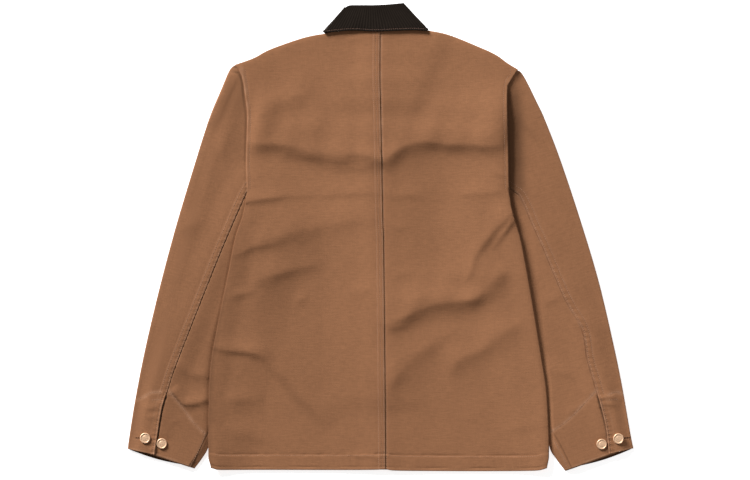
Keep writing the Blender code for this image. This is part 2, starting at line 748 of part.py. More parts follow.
def collar(material, collection):
    """One band: front leaf, side, back, side, front leaf, folded over along its top.

    A row runs the band's length. Its half height is its distance from the level about which
    the band turns over at both sides.
    """
    back_columns = np.linspace(0.0, 1.0, FALL_COLUMNS)
    leaf_columns = np.linspace(0.0, 1.0, LEAF_COLUMNS)
    turns = np.radians([135.0, 90.0, 45.0])
    hem_corners, fold_corners, outward = [], [], []
    for side, slant in (("left", SLANT_LEFT), ("right", SLANT_RIGHT)):
        low, high = np.array(slant, float)
        ahead = (high - low) / np.hypot(*(high - low))
        out = np.array([-ahead[1], ahead[0]]) * INWARD[side]
        outward.append(out)
        hem_corners.append(low - out * COLLAR_MIDDLE)
        fold_corners.append(high - out * COLLAR_MIDDLE - ahead * COLLAR_FOLD)
    stand_corners = [np.array(STAND_CORNER_LEFT), np.array(STAND_CORNER_RIGHT)]
    columns = (back_columns, leaf_columns)
    hem = collar_lane(hem_corners, LEAF_HEM_LEFT, FALL_HEM, LEAF_HEM_RIGHT, *columns)
    fold = collar_lane(fold_corners, LEAF_FOLD_LEFT, FALL_FOLD, LEAF_FOLD_RIGHT, *columns)
    stand = collar_lane(stand_corners, STAND_LEFT, STAND_BACK, STAND_RIGHT, *columns)
    leaf_angle = np.full(LEAF_COLUMNS, math.pi)
    angle = np.concatenate([leaf_angle, turns, np.zeros(FALL_COLUMNS), turns[::-1], leaf_angle])
    half_length = len(angle) // 2
    out = np.vstack([np.tile(outward[0], (half_length, 1)), np.tile(outward[1], (half_length + 1, 1))])
    centre = COLLAR_MIDDLE - COLLAR_FOLD
    rows = [(hem, share, 0.0, COLLAR_MIDDLE) for share in np.linspace(0.0, 1.0, FALL_ROWS)]
    for bend in np.radians([45.0, 90.0, 135.0]):
        reach = COLLAR_FOLD * math.sin(bend)
        rows.append((hem, 1.0, reach, centre + COLLAR_FOLD * math.cos(bend)))
    stand_rows = np.linspace(1.0, 0.0, STAND_ROWS)
    rows += [(stand, share, 0.0, centre - COLLAR_FOLD) for share in stand_rows]
    points = []
    for low, share, reach, half in rows:
        up = fold - low
        up /= np.linalg.norm(up, axis=1)[:, None]
        plan = low * (1.0 - share) + fold * share + up * reach
        plan = plan + out * (half * np.sin(angle))[:, None]
        height = COLLAR_MIDDLE + half * np.cos(angle)
        if low is hem:
            height = height + FALL_RISE * (1.0 - share) * np.clip(np.cos(angle), 0.0, 1.0)
        points.append(np.column_stack([plan, height]))
    return cloth("collar", np.array(points), COLLAR_WALL, material, collection)


# ---------------------------------------------------------------- buttons


def button_profile(radius, height):
    """(radius, height) from the middle of the base to the middle of a dished face."""
    return (
        (0.0, 0.0),
        (0.80 * radius, 0.0),
        (0.96 * radius, 0.25 * height),
        (radius, 0.55 * height),
        (0.93 * radius, 0.92 * height),
        (0.84 * radius, height),
        (0.72 * radius, 0.80 * height),
        (0.0, 0.86 * height),
    )


def cuff_button(row, material, collection):
    side = "left" if row.x < 0 else "right"
    angles = np.linspace(0.0, 2.0 * math.pi, CUFF_BUTTON_STEPS, endpoint=False)
    ring = np.column_stack([np.cos(angles), np.sin(angles)]) * CUFF_BUTTON_RADIUS
    below = np.vstack([ring, [(0.0, 0.0)]]) + (row.x, row.y)
    height = sleeve_top(below, side, row.name.endswith("tab")).max() + SEAM_GAP
    profile = button_profile(CUFF_BUTTON_RADIUS, CUFF_BUTTON_HEIGHT)
    place_at = (row.x, row.y, height)
    return turned(row.name, profile, place_at, CUFF_BUTTON_STEPS, material, collection)


def main():
    clear_scene()
    jacket = make_collection("chore_jacket")
    canvas = make_material("duck_canvas", CANVAS, 0.85)
    corduroy = make_material("corduroy", CORDUROY, 0.9)
    brass = make_material("brass", BRASS, 0.35, 1.0)
    for side in ("left", "right"):
        back_panel(side, canvas, jacket)
        front_panel(side, canvas, jacket)
        sleeve_outer(side, canvas, jacket)
        sleeve_inner(side, canvas, jacket)
    collar(corduroy, jacket)
    for row in CUFF_BUTTONS:
        cuff_button(row, brass, jacket)
    profile = button_profile(FRONT_BUTTON_RADIUS, FRONT_BUTTON_HEIGHT)
    for number, y in enumerate(FRONT_BUTTON_ROWS, 1):
        name = f"front_button_{number}"
        turned(name, profile, (0.0, y, 0.0), FRONT_BUTTON_STEPS, brass, jacket)


main()
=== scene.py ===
"""The looks of a duck canvas chore jacket with a corduroy collar, laid flat on its front.

Tables and functions are in millimetres. The panel's sizes, and every mesh, are in metres. +Y points
to the collar, +Z is up, and "left" is the -X side.

Every panel is a thin sheet on the form of its solid, with creases, seams and hems worked into it.
"""

import math
from collections import namedtuple
from functools import partial

import bpy
import numpy as np
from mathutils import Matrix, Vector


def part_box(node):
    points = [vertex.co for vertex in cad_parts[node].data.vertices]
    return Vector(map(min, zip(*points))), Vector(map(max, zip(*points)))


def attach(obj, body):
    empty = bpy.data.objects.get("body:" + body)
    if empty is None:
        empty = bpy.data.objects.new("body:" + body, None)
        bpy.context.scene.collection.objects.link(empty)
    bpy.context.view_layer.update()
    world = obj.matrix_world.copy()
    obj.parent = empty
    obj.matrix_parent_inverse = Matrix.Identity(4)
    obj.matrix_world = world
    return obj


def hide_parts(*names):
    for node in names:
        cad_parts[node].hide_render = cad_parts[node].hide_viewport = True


bl_info = {
    "name": "Chore Jacket",
    "version": (1, 0, 0),
    "blender": (4, 5, 0),
    "location": "View3D > Sidebar > Jacket",
    "description": "Canvas panels, corduroy collar, buttons and stitching of a jacket laid flat",
    "category": "Object",
}

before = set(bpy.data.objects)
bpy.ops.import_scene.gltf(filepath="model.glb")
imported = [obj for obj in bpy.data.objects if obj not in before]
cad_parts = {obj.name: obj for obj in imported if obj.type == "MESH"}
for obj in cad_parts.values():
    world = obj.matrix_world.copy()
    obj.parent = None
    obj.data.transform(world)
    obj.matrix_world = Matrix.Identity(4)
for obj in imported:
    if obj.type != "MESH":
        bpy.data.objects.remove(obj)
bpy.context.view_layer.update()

MM = 0.001
SIDES = ("left", "right")
LAYERS = ("outer", "inner")
INWARD = {"left": 1.0, "right": -1.0}

# Cloth and the room between layers.
WALL = 1.2
COLLAR_WALL = 1.6
SEAM_GAP = 0.4
AIR = 0.9
LAP = 11.0
LAP_RISE = WALL + SEAM_GAP
LAP_RAMP = (LAP + 2.0, LAP + 34.0)
FELL_RAMP = (LAP - 0.6, LAP + 1.2)
SLEEVE_LAP_RISE = WALL + 0.7
EDGE_ROLL = {"left": 1.2, "right": 2.0}
EDGE_STEP = 1.5
EDGE_AIR = 0.3
EDGE_AIR_RAMP = (6.0, 40.0)
HEM_CLEAR = 0.3
ARMHOLE_INSET = 8.0
ARMHOLE_RISE = {"left": 2.7, "right": 7.0}
ARMHOLE_RAMP = {"left": (12.0, 62.0), "right": (12.0, 110.0)}
ARMHOLE_FALL = {"left": 0.0, "right": 0.85}
ARMHOLE_FALL_RAMP = (188.0, 262.0)
# The power that joins two rises, each of them near its full height where it is the greater.
BLEND = 4

# Heights in plan of the body's side.
HEM_Y = -377.0
HEM_LOW = -379.8
HEM_TURN_X = 262.0
HEM_TURN_Y = -379.2
UNDERARM_Y = 77.0
UNDERARM_TURN = 50.0
UNDERARM_DIP = 15.0
SIDE_TOP = 262.0
ARMHOLE_TOP = 272.0
SIDE_ROLL_RAMP = (-6.0, 14.0)
SHOULDER_ROLL_END = 0.05
BEYOND_SLEEVES = 430.0
FRONT_INSET = WALL + 0.5
FRONT_SHOULDER = slice(5, -8)

# Spacing of the sheets' points.
GRID = 2.6
FINE_GRID = 1.1
FRONT_GRID = 7.0
RAIL_GRID = 1.5
SLEEVE_GRID = 3.3
INNER_GRID = 0.8 * SLEEVE_GRID
CENTRE_FINE = 27.0
END_FINE = 30.0
CUFF_FINE = 45.0
EDGE_SHARE = 0.012
EDGE_NEXT = 0.03
SHOULDER_SHRINK = 1.8
# A sleeve panel's upper and lower sheets: the share at which each starts, and its columns.
SLEEVE_COLUMNS = {
    "outer": {"upper": (0.07, 60), "lower": (0.07, 14)},
    "inner": {"upper": (0.08, 84), "lower": (0.3, 7)},
}
EDGE_ARC = np.radians([0.0, 30.0, 60.0, 90.0])
EDGE_COLUMNS = len(EDGE_ARC) + 1
FOLD_ARC = np.radians(np.linspace(0.0, 180.0, 9))
LINE_POINTS = 40
SEAM_POINTS = 30
SPLINE_STEPS = 12

# Sleeve tube.
SLEEVE_FLAT = 2 * WALL + 1.4
SLEEVE_SWELL = {"left": 3.0, "right": 1.3}
CUFF_SWELL = {"left": 0.6, "right": 2.4}
CUFF_FULL = -300.0
CUFF_START = -190.0
SWELL_START = 2.0
SWELL_RUN = {"left": 12.0, "right": 30.0}
SWELL_OUTER = 32.0
SWELL_CUFF = {"outer": 22.0, "inner": 12.0}
SLEEVE_LIFT = SLEEVE_FLAT + 0.6
SLEEVE_LIFT_RAMP = (14.0, 86.0)
FRONT_SEAM_LOW = 0.25
FRONT_SEAM_HIGH = 0.9
FREE = {"left": (-4.0, 18.0), "right": (-26.0, 4.0)}
FREE_LOW = {"left": (-11.0, 12.0), "right": (-10.0, 6.0)}
FREE_TURN = (-190.0, -90.0)
FOLD_START = 3.0
CUFF_MOUTH = 3.2
GRAIN_TURN = 0.8

# Front closure, on the hidden side.
OVERLAP = 12.0
OVERLAP_RAMP = (15.0, 32.0)
RAIL_LIFT = 2.3
RAIL_LEVEL = 14.0
RAIL_FOOT = 30.0
RAIL_BOTTOM = -255.0
RAIL_TOP = 250.0
RAIL_END = 40.0
CROWN_LEVEL = 18.0
CROWN_RUN = 100.0
CROWN_RAMP = (285.0, 323.0)
NECK_Y = 338.0
NECK_RUN = 30.0
NECK_STEP = 0.5
NECK_DEPTH = 283.0

# Collar levels, from the surface upward.
LEAF_CLEAR = 0.4
LEAF_LIFT = COLLAR_WALL + LEAF_CLEAR
LEAF_RAMP = (10.0, 46.0)
FALL_RISE = 1.3
NECK_AIR = 0.8
COLLAR_FOLD = (2 * COLLAR_WALL + LEAF_CLEAR) / 2
COLLAR_TOP = 2 * (2 * COLLAR_WALL + LEAF_CLEAR) + NECK_AIR
COLLAR_MIDDLE = COLLAR_TOP / 2
CORNER_PRESS = 0.6
FALL_COLUMNS = 240
LEAF_COLUMNS = 60
FALL_ROWS = 26
STAND_ROWS = 6
BAND_ARC = np.radians(np.arange(22.5, 180.0, 22.5))
RIB_FADE = (-0.2, 0.4)
COLLAR_ROW = 3.6
COLLAR_SINK = 1.4
COLLAR_THREAD_ABOVE = 0.8

# Seams, hems and their rows of stitches, as distances from the edge or seam line.
CENTRE_ROWS = (2.4, 6.8, 11.0)
CENTRE_FAR_ROW = -1.8
ARMHOLE_ROW = 5.6
ELBOW_ROWS = (2.2, 9.6)
FRONT_ROWS = (3.0, 9.0)
HEM_ROW = 23.5
HEM_RAMP = (HEM_ROW - 1.0, HEM_ROW + 1.5)
HEM_STEP = 0.45
HEM_PITCH = 11.0
HEM_SLANT = 0.5
FELL_STEP = {"left": 0.45, "right": 0.1}
SINK = 0.3
SINK_WIDTH = 1.0
THREAD_ABOVE = 0.35
VALLEY = {"left": 0.5, "right": 4.6}
VALLEY_REACH = 215.0
VALLEY_POWER = 1.1
VALLEY_RAMP = (-260.0, 110.0)
VALLEY_END = (215.0, 272.0)
VALLEY_FADE = 0.3
SIDE_RISE = {"left": 1.9, "right": 2.2}
SIDE_RISE_RAMP = (2.0, 36.0)
CLIMB_UNDER = 12.0
SEAM_DROP = 0.25
SEAM_DROP_RAMP = (0.0, 1.6)
VENT_TOP_Y = -258.0
VENT_RAMP = (VENT_TOP_Y - 4.0, VENT_TOP_Y + 4.0)
VENT_LIFT = 0.5
VENT_LIFT_RAMP = (0.5, 9.0)
VENT_ROW = 3.4
HOLLOW = 1.3
SLIT_TOP = (VENT_TOP_Y - 5.0, VENT_TOP_Y + 1.0)
SLIT_FADE = {"left": (-345.0, -328.0), "right": (-330.0, -275.0)}
SLIT_END = {"left": 0.2, "right": 0.15}
SLIT_FILL = 0.72
SLIT_FILL_END = (-338.0, -320.0)
BUTTONHOLE_ROW = 1.7

# A lower panel's rise at a seam: under the upper panel, beyond its edge, and how far they reach.
Bank = namedtuple("Bank", "under beyond")
CENTRE_BANK = Bank(0.4, 1.15)
ELBOW_BANK = Bank(0.8, 2.1)
BANK_REACH = Bank(9.0, 32.0)
BANK_EDGE = 1.2
BANK_LEVEL = 3.0

# Ripples that stitches draw up across a seam.
Puckers = namedtuple("Puckers", "height reach pitch seed")
CENTRE_PUCKERS = {"left": Puckers(0.12, 17.0, 7.5, 31), "right": Puckers(0.10, 12.0, 7.5, 33)}
ELBOW_PUCKERS = Puckers(0.5, 12.0, 8.5, 35)
PUCKER_STRAY = 1.6
PUCKER_SPAN = 5.0
PUCKER_LEVEL = 0.35

# Values that change unevenly over the cloth: the mean, how far they stray from it, the span over
# which they change, and the seed of their draw.
Uneven = namedtuple("Uneven", "mean stray span seed")
UNEVEN = {
    "crease line": Uneven(0.0, 1.3, 52.0, 3),
    "crease depth": Uneven(1.0, 0.14, 60.0, 5),
    "back": Uneven(0.0, 0.11, 70.0, 11),
    "back, fine": Uneven(0.0, 0.04, 19.0, 13),
    "sleeve": Uneven(0.0, 0.2, 60.0, 15),
    "hem slant": Uneven(0.0, 1.8, 60.0, 21),
    "hem puckers": Uneven(0.7, 0.5, 90.0, 23),
    "hem row": Uneven(0.8, 0.5, 120.0, 25),
    "hem row, fine": Uneven(0.0, 0.5, 17.0, 29),
    "hem groove": Uneven(0.7, 0.6, 70.0, 27),
    "back wear": Uneven(0.75, 0.35, 17.0, 41),
    "sleeve wear": Uneven(0.75, 0.35, 17.0, 43),
    "collar": Uneven(0.0, 0.22, 34.0, 51),
}
WAVE_TURNS = np.radians([12.0, 49.0, 88.0, 131.0, 165.0])
WAVE_PITCHES = (0.7, 1.7)
WAVE_SUM = 2.5

# Bands along a seam or an edge: the share in their middle, its distance from the line, and their
# width. The first are heights and depths; the next are rubbed, the left armhole's band also a
# painted highlight; the last are drawn dark as painted shade: the cuffs' hollows, which are also
# sunk, and the back's side edges.
Band = namedtuple("Band", "share at width")
BANDS = {
    "armhole bead left": Band(0.35, 1.8, 1.5),
    "armhole bead right": Band(0.0, 1.8, 1.5),
    "gutter left": Band(0.25, -1.4, 1.7),
    "gutter right": Band(0.5, -1.4, 1.7),
    "hem puckers": Band(0.24, 13.0, 8.5),
    "hem row": Band(0.42, HEM_ROW + 1.6, 2.3),
    "hem groove": Band(0.4, 5.0, 1.3),
    "vent bead": Band(0.45, 1.2, 1.1),
    "collar bead": Band(0.35, 1.2, 1.2),
    # The left armhole's band is rubbed cloth, drawn far stronger than the right one as a painted
    # highlight of its lit edge.
    "armhole wear and highlight left": Band(0.8, 1.5, 2.2),
    "armhole wear and highlight right": Band(0.15, 1.5, 2.2),
    "hem wear": Band(0.15, 0.5, 2.5),
    "centre wear left": Band(0.5, 1.0, 1.4),
    "centre wear right": Band(0.4, 2.5, 1.6),
    "centre lap wear": Band(0.1, LAP, 1.5),
    "elbow wear": Band(0.4, 0.5, 1.6),
    "vent wear": Band(0.5, 0.5, 1.6),
    "elbow lap wear": Band(0.15, LAP, 1.5),
    "outer fold wear": Band(0.1, 1.0, 3.0),
    "facing wear": Band(0.5, 1.0, 2.2),
    "bar wear": Band(0.25, 0.8, 1.4),
    "buttonhole": Band(1.0, 0.0, 0.9),
    "cuff seam": Band(0.6, 0.0, 0.9),
    "slit": Band(1.0, 1.3, 1.2),
    "side dark left": Band(0.38, 0.0, 3.6),
    "side dark right": Band(0.1, 0.0, 3.6),
}
# Where the rubbing grows or fades along a seam, and how strong it is at a cuff's edge.
WEAR_LOW = 0.35
WEAR_RAMP = (140.0, 250.0)
CENTRE_WEAR_RAMP = (20.0, 180.0)
CUFF_WEAR = 0.6
CUFF_WEAR_RAMP = (1.0, 4.0)

# Painted shade: how dark the cuffs' gaps, the inside of a cuff's mouth, the back's side edges and a
# band of the right sleeve beside the armhole are drawn, and where.
SIDE_DARK_LOSS = 0.75
SIDE_DARK_RAMP = (-130.0, -50.0)
MOUTH_DARK = 0.8
MOUTH_RAMP = (6.0, 10.0)
HOLLOW_DARK = 0.75
UNDERSIDE_TOP = 0.5 * WALL
UPPER_BOTTOM = 2.0 * WALL
# Painted shadow of the body's raised edge, on the right sleeve beside the armhole.
ARMHOLE_DARK = 0.5
ARMHOLE_DARK_WIDTH = 9.5
ARMHOLE_DARK_START = (30.0, 90.0)
ARMHOLE_DARK_END = (225.0, 258.0)
ARMHOLE_DARK_AT = (-17.0, 5.0)
ARMHOLE_DARK_TURN = (190.0, 240.0)

# The body's outline, the lines in plan as (x, y) and the sleeve sections from the cap to the cuff:
# outer fold, elbow seam and inner fold.
Body = namedtuple("Body", "y left right")
Section = namedtuple("Section", "outer_x outer_y seam_x seam_y inner_x inner_y")
BODY = (
    Body(-377, -276, 271),
    Body(-366, -280, 274),
    Body(-320, -280, 274),
    Body(-250, -279, 270.3),
    Body(-200, -275, 262.6),
    Body(-150, -266, 254.5),
    Body(-100, -256, 246),
    Body(-50, -246, 237),
    Body(0, -236, 227),
    Body(38, -223, 215),
    Body(77, -218, 209),
    Body(120, -219, 208),
    Body(160, -218, 207),
    Body(200, -217, 206),
    Body(232, -221, 206),
    Body(250, -223, 208),
    Body(262, -226, 217),
)
SHOULDER_LEFT = ((-236, 280), (-206, 291), (-182, 304), (-138, 320), (-112, 327), (-87, 331))
SHOULDER_RIGHT = ((224, 272), (206, 283), (188, 296), (160, 309), (112, 328.3), (74, 336.6))
NECK_LEFT = ((-87, 331), (-76, 338), (-40, 341), (-1, 342))
NECK_RIGHT = ((74, 336.6), (60, 339), (34, 342), (-1, 342))
CENTRE_BACK = (
    (8, -379), (7.3, -266), (4.8, -22), (3.2, 32), (1.2, 138), (-0.5, 222), (-1.3, 262), (-1, 342),
)
HEM_LEFT = (
    (-276, -377), (-270, -378.8), (-262, -380), (-240, -380.2), (-180, -380.2), (-66, -380.4),
    (-12, -380), (8, -379),
)
HEM_RIGHT = (
    (8, -379), (14, -380.2), (22, -381.2), (50, -381.8), (130, -382.3), (210, -382.2),
    (244, -381.6), (256, -381), (264, -379.4), (271, -377),
)
FRONT_NECK_LEFT = ((-80, 330), (-68, 309), (-46, 290), (-30, NECK_DEPTH))
FRONT_NECK_RIGHT = ((64, 331), (56, 309), (43, 290), (30, NECK_DEPTH))
SLEEVE_LEFT = (
    Section(-235, 281, -210, 84, -177, 7),
    Section(-246, 271, -221, 65, -190, -24),
    Section(-259, 241, -235, 34, -206, -62),
    Section(-280, 190, -259, -22, -224, -104),
    Section(-306, 108, -286, -89, -239, -160),
    Section(-335, 11, -312.5, -156, -252, -218),
    Section(-361, -87, -336.5, -218, -262, -268),
    Section(-384, -185, -346, -248, -271, -315),
    Section(-400, -267, -356, -280, -281, -345),
    Section(-410, -330, -363, -322, -291, -362),
    Section(-412, -346, -368, -355, -303, -378),
)
SLEEVE_RIGHT = (
    Section(218, 271, 201, 84, 170, 7),
    Section(231, 265, 215, 75, 182, -22),
    Section(256, 216, 229, 62, 196, -54),
    Section(268, 190, 247, 21, 213, -92),
    Section(293, 125, 266, -21, 228, -135),
    Section(325, 29, 299, -99, 245, -194),
    Section(355, -71, 328, -151, 258, -244),
    Section(378, -168, 337, -200, 267, -290),
    Section(393, -240, 350, -245, 275, -342),
    Section(407, -320, 366, -305, 286, -362),
    Section(412, -345, 372, -354, 301, -382),
)

# Creases: soft ridges that fall away steeply along their line, on its right-hand side. Each point
# of a line has its share of the height, so a crease deepens, thins out and ends where it does.
Crease = namedtuple("Crease", "up down height line")
BACK_CREASES = (
    Crease(24, 16, 1.7, ((-205, 183, 0), (-172, 203, 0.8), (-131, 221, 0.9), (-90, 244, 0))),
    Crease(16, 24, 1.6, (
        (-70, 112, 0), (-30, 112, 0.6), (10, 108, 0.5), (60, 126, 0.9), (190, 128, 0),
    )),
    Crease(66, 14, 5.2, (
        (-219, 149, 0.2), (-200, 146, 0.9), (-167, 142, 0.95), (-148, 139, 1.05), (-129, 135, 1.1),
        (-110, 129, 1.0), (-95, 126, 0.95), (-66, 125, 0.8), (-42, 128, 0.75), (-24, 125, 0.8),
        (-4, 117, 0.9), (7, 117, 0.7), (25, 131, 0.85), (43, 142, 0.95), (64, 147, 1.1),
        (89, 147, 1.4), (113, 143.5, 1.4), (146, 143.5, 1.05), (170, 142, 0.95), (192, 143, 0.8),
        (206, 142, 0),
    )),
    Crease(10, 8, 1.3, (
        (-162, 134, 0), (-132, 129, 1.0), (-100, 122, 0.7), (-60, 118, 0.8), (-30, 119, 0),
    )),
    Crease(10, 9, 1.0, (
        (-112, 112, 0), (-80, 108, 0.8), (-50, 107, 1.0), (-20, 110, 0.8), (0, 114, 0),
    )),
    Crease(16, 6, 2.3, (
        (-214, 55, 0.9), (-193, 57, 1.0), (-172, 59, 0.8), (-146, 63, 0.35), (-99, 64, 0.3),
        (-50, 67, 0.4), (-12, 68, 0.3), (0, 68, 0),
    )),
    Crease(12, 7, 1.3, ((4, 66, 0.3), (32, 63, 0.6), (56, 63, 0.6), (77, 64, 0))),
    Crease(12, 7, 1.4, ((110, 64, 0), (146, 66, 0.6), (188, 69, 0.5), (203, 71, 0))),
    Crease(26, 8, 2.1, (
        (-236, -32, 0.3), (-221, -28, 0.9), (-205, -21, 1.0), (-180, -17, 0.9), (-155, -9, 0),
    )),
    Crease(34, 15, 2.9, (
        (-205, -22, 0), (-175, -10, 0.6), (-138, 0, 0.65), (-94, 10, 0.65), (-50, 17, 0.55),
        (-12, 22, 0.35), (2, 24, 0),
    )),
    Crease(20, 12, 2.5, (
        (-213, -77, 0), (-193, -74, 0.9), (-161, -67, 1.0), (-131, -59, 0.7), (-108, -51, 0.6),
        (-90, -43, 0),
    )),
    Crease(10, 7, 1.3, ((-249, -104, 0), (-232, -100, 0.8), (-213, -95, 0.5), (-200, -94, 0))),
    Crease(10, 8, 1.1, ((-144, -110, 0), (-131, -108, 0.8), (-115, -105, 0))),
    Crease(12, 9, 1.1, ((-58, -97, 0), (-33, -92, 0.5), (-9, -89, 0.3))),
    Crease(20, 6, 2.6, (
        (-270, -185, 0.5), (-242, -190, 1.0), (-213, -192, 1.0), (-193, -201, 0.5), (-180, -212, 0),
    )),
    Crease(26, 13, 2.2, (
        (-222, -194, 0), (-193, -201, 0.8), (-175, -219, 0.9), (-152, -245, 0.8), (-126, -275, 0.7),
        (-100, -297, 0.5), (-79, -315, 0),
    )),
    Crease(18, 12, 1.8, ((-258, -267, 0), (-237, -270, 0.8), (-205, -271, 0.5), (-188, -273, 0))),
    Crease(18, 12, 1.7, ((-258, -317, 0), (-232, -325, 0.8), (-205, -333, 0.7), (-167, -348, 0))),
    Crease(50, 17, 5.8, (
        (6, -156, 0), (15, -150, 0.4), (32, -142, 0.8), (63, -129, 1.0), (99, -118, 1.05),
        (130, -114, 1.05), (159, -107, 1.0), (180, -87, 0.85), (198, -69, 0.6), (214, -51, 0),
    )),
    Crease(6, 6, 1.0, ((9, -154, 0), (24, -152, 0.7), (40, -149, 0.4), (51, -148, 0))),
    Crease(22, 9, 2.8, (
        (139, -84, 0), (146, -68, 0.5), (156, -42, 0.7), (167, -19, 0.8), (182, -1, 1.0),
        (198, 17, 1.0), (213, 33, 0.8), (221, 43, 0),
    )),
    Crease(6, 5, 2.2, ((182, -26, 0), (200, 0, 0.7), (213, 18, 0.8), (222, 31, 0.2))),
    Crease(28, 19, 3.2, (
        (19, -263, 0), (32, -239, 0.7), (45, -219, 0.8), (64, -200, 0.7), (92, -180, 0.6),
        (121, -164, 0.4), (138, -156, 0),
    )),
    Crease(30, 18, 3.2, (
        (105, -226, 0), (121, -218, 0.8), (141, -206, 1.0), (174, -185, 0.8), (203, -167, 0.7),
        (227, -151, 0.5), (240, -141, 0),
    )),
    Crease(8, 7, 0.8, ((2, -224, 0), (19, -216, 0.5), (35, -209, 0))),
    Crease(9, 6, 0.8, ((19, -69, 0), (40, -64, 0.6), (64, -63, 0))),
    Crease(9, 6, 0.8, ((12, 7, 0), (32, 11, 0.6), (55, 12, 0))),
    Crease(10, 6, 0.9, ((172, 107, 0), (188, 102, 0.8), (208, 94, 0.5))),
    Crease(10, 8, 0.8, ((25, -280, 0), (48, -275, 0.5), (73, -270, 0))),
    Crease(12, 8, 0.8, ((187, -325, 0), (219, -317, 0.6), (257, -312, 0.4))),
    Crease(5, 4, 0.7, ((-57, -357, 0), (-30, -360, 0.9), (-6, -361, 0.5))),
    Crease(5, 4, 0.6, ((10, -357, 0.6), (24, -356, 0.5), (40, -356, 0))),
    Crease(6, 5, 1.4, ((-82, 318, 0), (-66, 326, 0.8), (-46, 330, 0.6), (-26, 331, 0))),
    Crease(5, 5, 1.1, ((-58, 315, 0), (-40, 320, 0.7), (-20, 322, 0))),
    Crease(5, 5, 0.5, ((12, 320, 0), (25, 327, 0.7), (40, 330, 0))),
)
SLEEVE_CREASES = (
    Crease(12, 8, 2.6, (
        (-274, 172, 0), (-266, 189, 0.7), (-256, 212, 1.0), (-245, 236, 1.2), (-236, 254, 1.0),
        (-230, 266, 0.3),
    )),
    Crease(10, 9, 1.0, ((-254, 120, 0), (-249, 145, 0.9), (-243, 170, 0.6), (-238, 190, 0))),
    Crease(18, 13, 1.8, ((-327, 1, 0), (-310, 11, 0.7), (-291, 17, 0.5), (-275, 20, 0))),
    Crease(15, 8, 1.9, ((-340, -205, 0), (-330, -214, 0.8), (-311, -229, 0.8), (-283, -231, 0.6))),
    Crease(12, 6.5, 2.5, (
        (-343, -249, 0), (-338, -255, 0.9), (-330, -265, 1.0), (-320, -274, 1.1), (-302, -275, 1.1),
        (-282, -271, 0.9),
    )),
    Crease(14, 8, 1.2, ((260, -221, 0), (273, -222, 0.5), (301, -226, 0.7), (325, -231, 0))),
    Crease(12, 8, 1.0, ((265, -113, 0), (276, -108, 0.8), (296, -102, 0.4), (309, -97, 0))),
    Crease(14, 9, 1.0, ((312, -141, 0), (325, -143, 0.7), (358, -152, 0.3))),
    Crease(7, 4, 1.0, ((-394, -280, 0), (-380, -283, 0.8), (-368, -281, 0.9), (-359, -278, 0.5))),
    Crease(6, 4, 0.8, ((-388, -295, 0), (-374, -297, 0.8), (-364, -296, 0.5))),
    Crease(7, 5, 0.7, ((-345, -300, 0), (-334, -304, 0.8), (-322, -303, 0))),
    Crease(6, 4, 1.5, ((358, -267, 0.7), (370, -264, 0.9), (386, -266, 0.4), (394, -268, 0))),
    Crease(6, 4, 1.3, ((360, -277, 0.6), (374, -275, 0.9), (391, -279, 0))),
    Crease(7, 5, 0.8, ((300, -292, 0), (312, -287, 0.8), (324, -280, 0.5))),
)
CREASE_POWER = 1.7
CREASE_REACH = 2.4
CREASE_WIDE = 10.0
CREASE_STEPS = 6
STEEPEST = 0.6

# Painted shade: stretches of the cloth drawn darker, beside the right armhole, over the upper back,
# down the left side and along the sleeves; a share below 0 draws painted light. Each has its
# middle, its reach each way and its share.
Shade = namedtuple("Shade", "x y reach_x reach_y share")
# Painted shade along a line: its width, and the line's points as (x, y, share).
Fold = namedtuple("Fold", "width line")
BACK_SHADES = (
    Shade(-10, 205, 270, 110, 0.13),
    Shade(-180, -55, 85, 100, 0.27),
    Shade(-110, -250, 110, 90, 0.16),
    Shade(-95, -30, 45, 40, 0.15),
    Shade(-250, -160, 24, 230, 0.3),
    Shade(130, 0, 80, 90, 0.09),
)
# Painted shade along the back's creases, its sides and under the collar.
BACK_SHADE_LINES = (
    Fold(9, (
        (-195, 150, 0), (-150, 146, 0.25), (-110, 138, 0.3), (-70, 133, 0.2), (-30, 130, 0.2),
        (0, 124, 0.15),
    )),
    Fold(9, (
        (10, 128, 0.1), (30, 139, 0.25), (62, 148, 0.3), (100, 147, 0.35), (150, 146, 0.3),
        (185, 146, 0),
    )),
    Fold(7, (
        (-196, -200, 0), (-175, -219, 0.22), (-152, -245, 0.25), (-126, -275, 0.2), (-80, -314, 0),
    )),
    Fold(7, (
        (-275, -300, 0.35), (-275, -100, 0.35), (-246, -50, 0.4), (-236, 0, 0.45), (-221, 60, 0.3),
    )),
    Fold(16, ((216, -120, 0), (228, 0, 0.12), (209, 77, 0.2), (206, 200, 0.2), (210, 255, 0.05))),
    Fold(5, ((-88, 322, 0.1), (-60, 331, 0.25), (-20, 335, 0.2), (20, 336, 0.1))),
)
SLEEVE_SHADES = (
    Shade(-320, -60, 90, 500, 0.28),
    # Painted shadow of the body's raised edge on the right sleeve.
    Shade(208, 140, 26, 120, 0.5),
    Shade(-238, 252, 7, 9, 0.5),
    Shade(-236, 185, 24, 85, 0.3),
    Shade(-230, 236, 9, 30, 0.4),
    Shade(-365, -215, 60, 90, 0.22),
    Shade(-276, 130, 16, 45, 0.22),
    Shade(-402, -295, 14, 70, 0.45),
    # Painted light on the right cuff's outer edge, where its slope falls into shade.
    Shade(398, -300, 12, 65, -0.4),
)
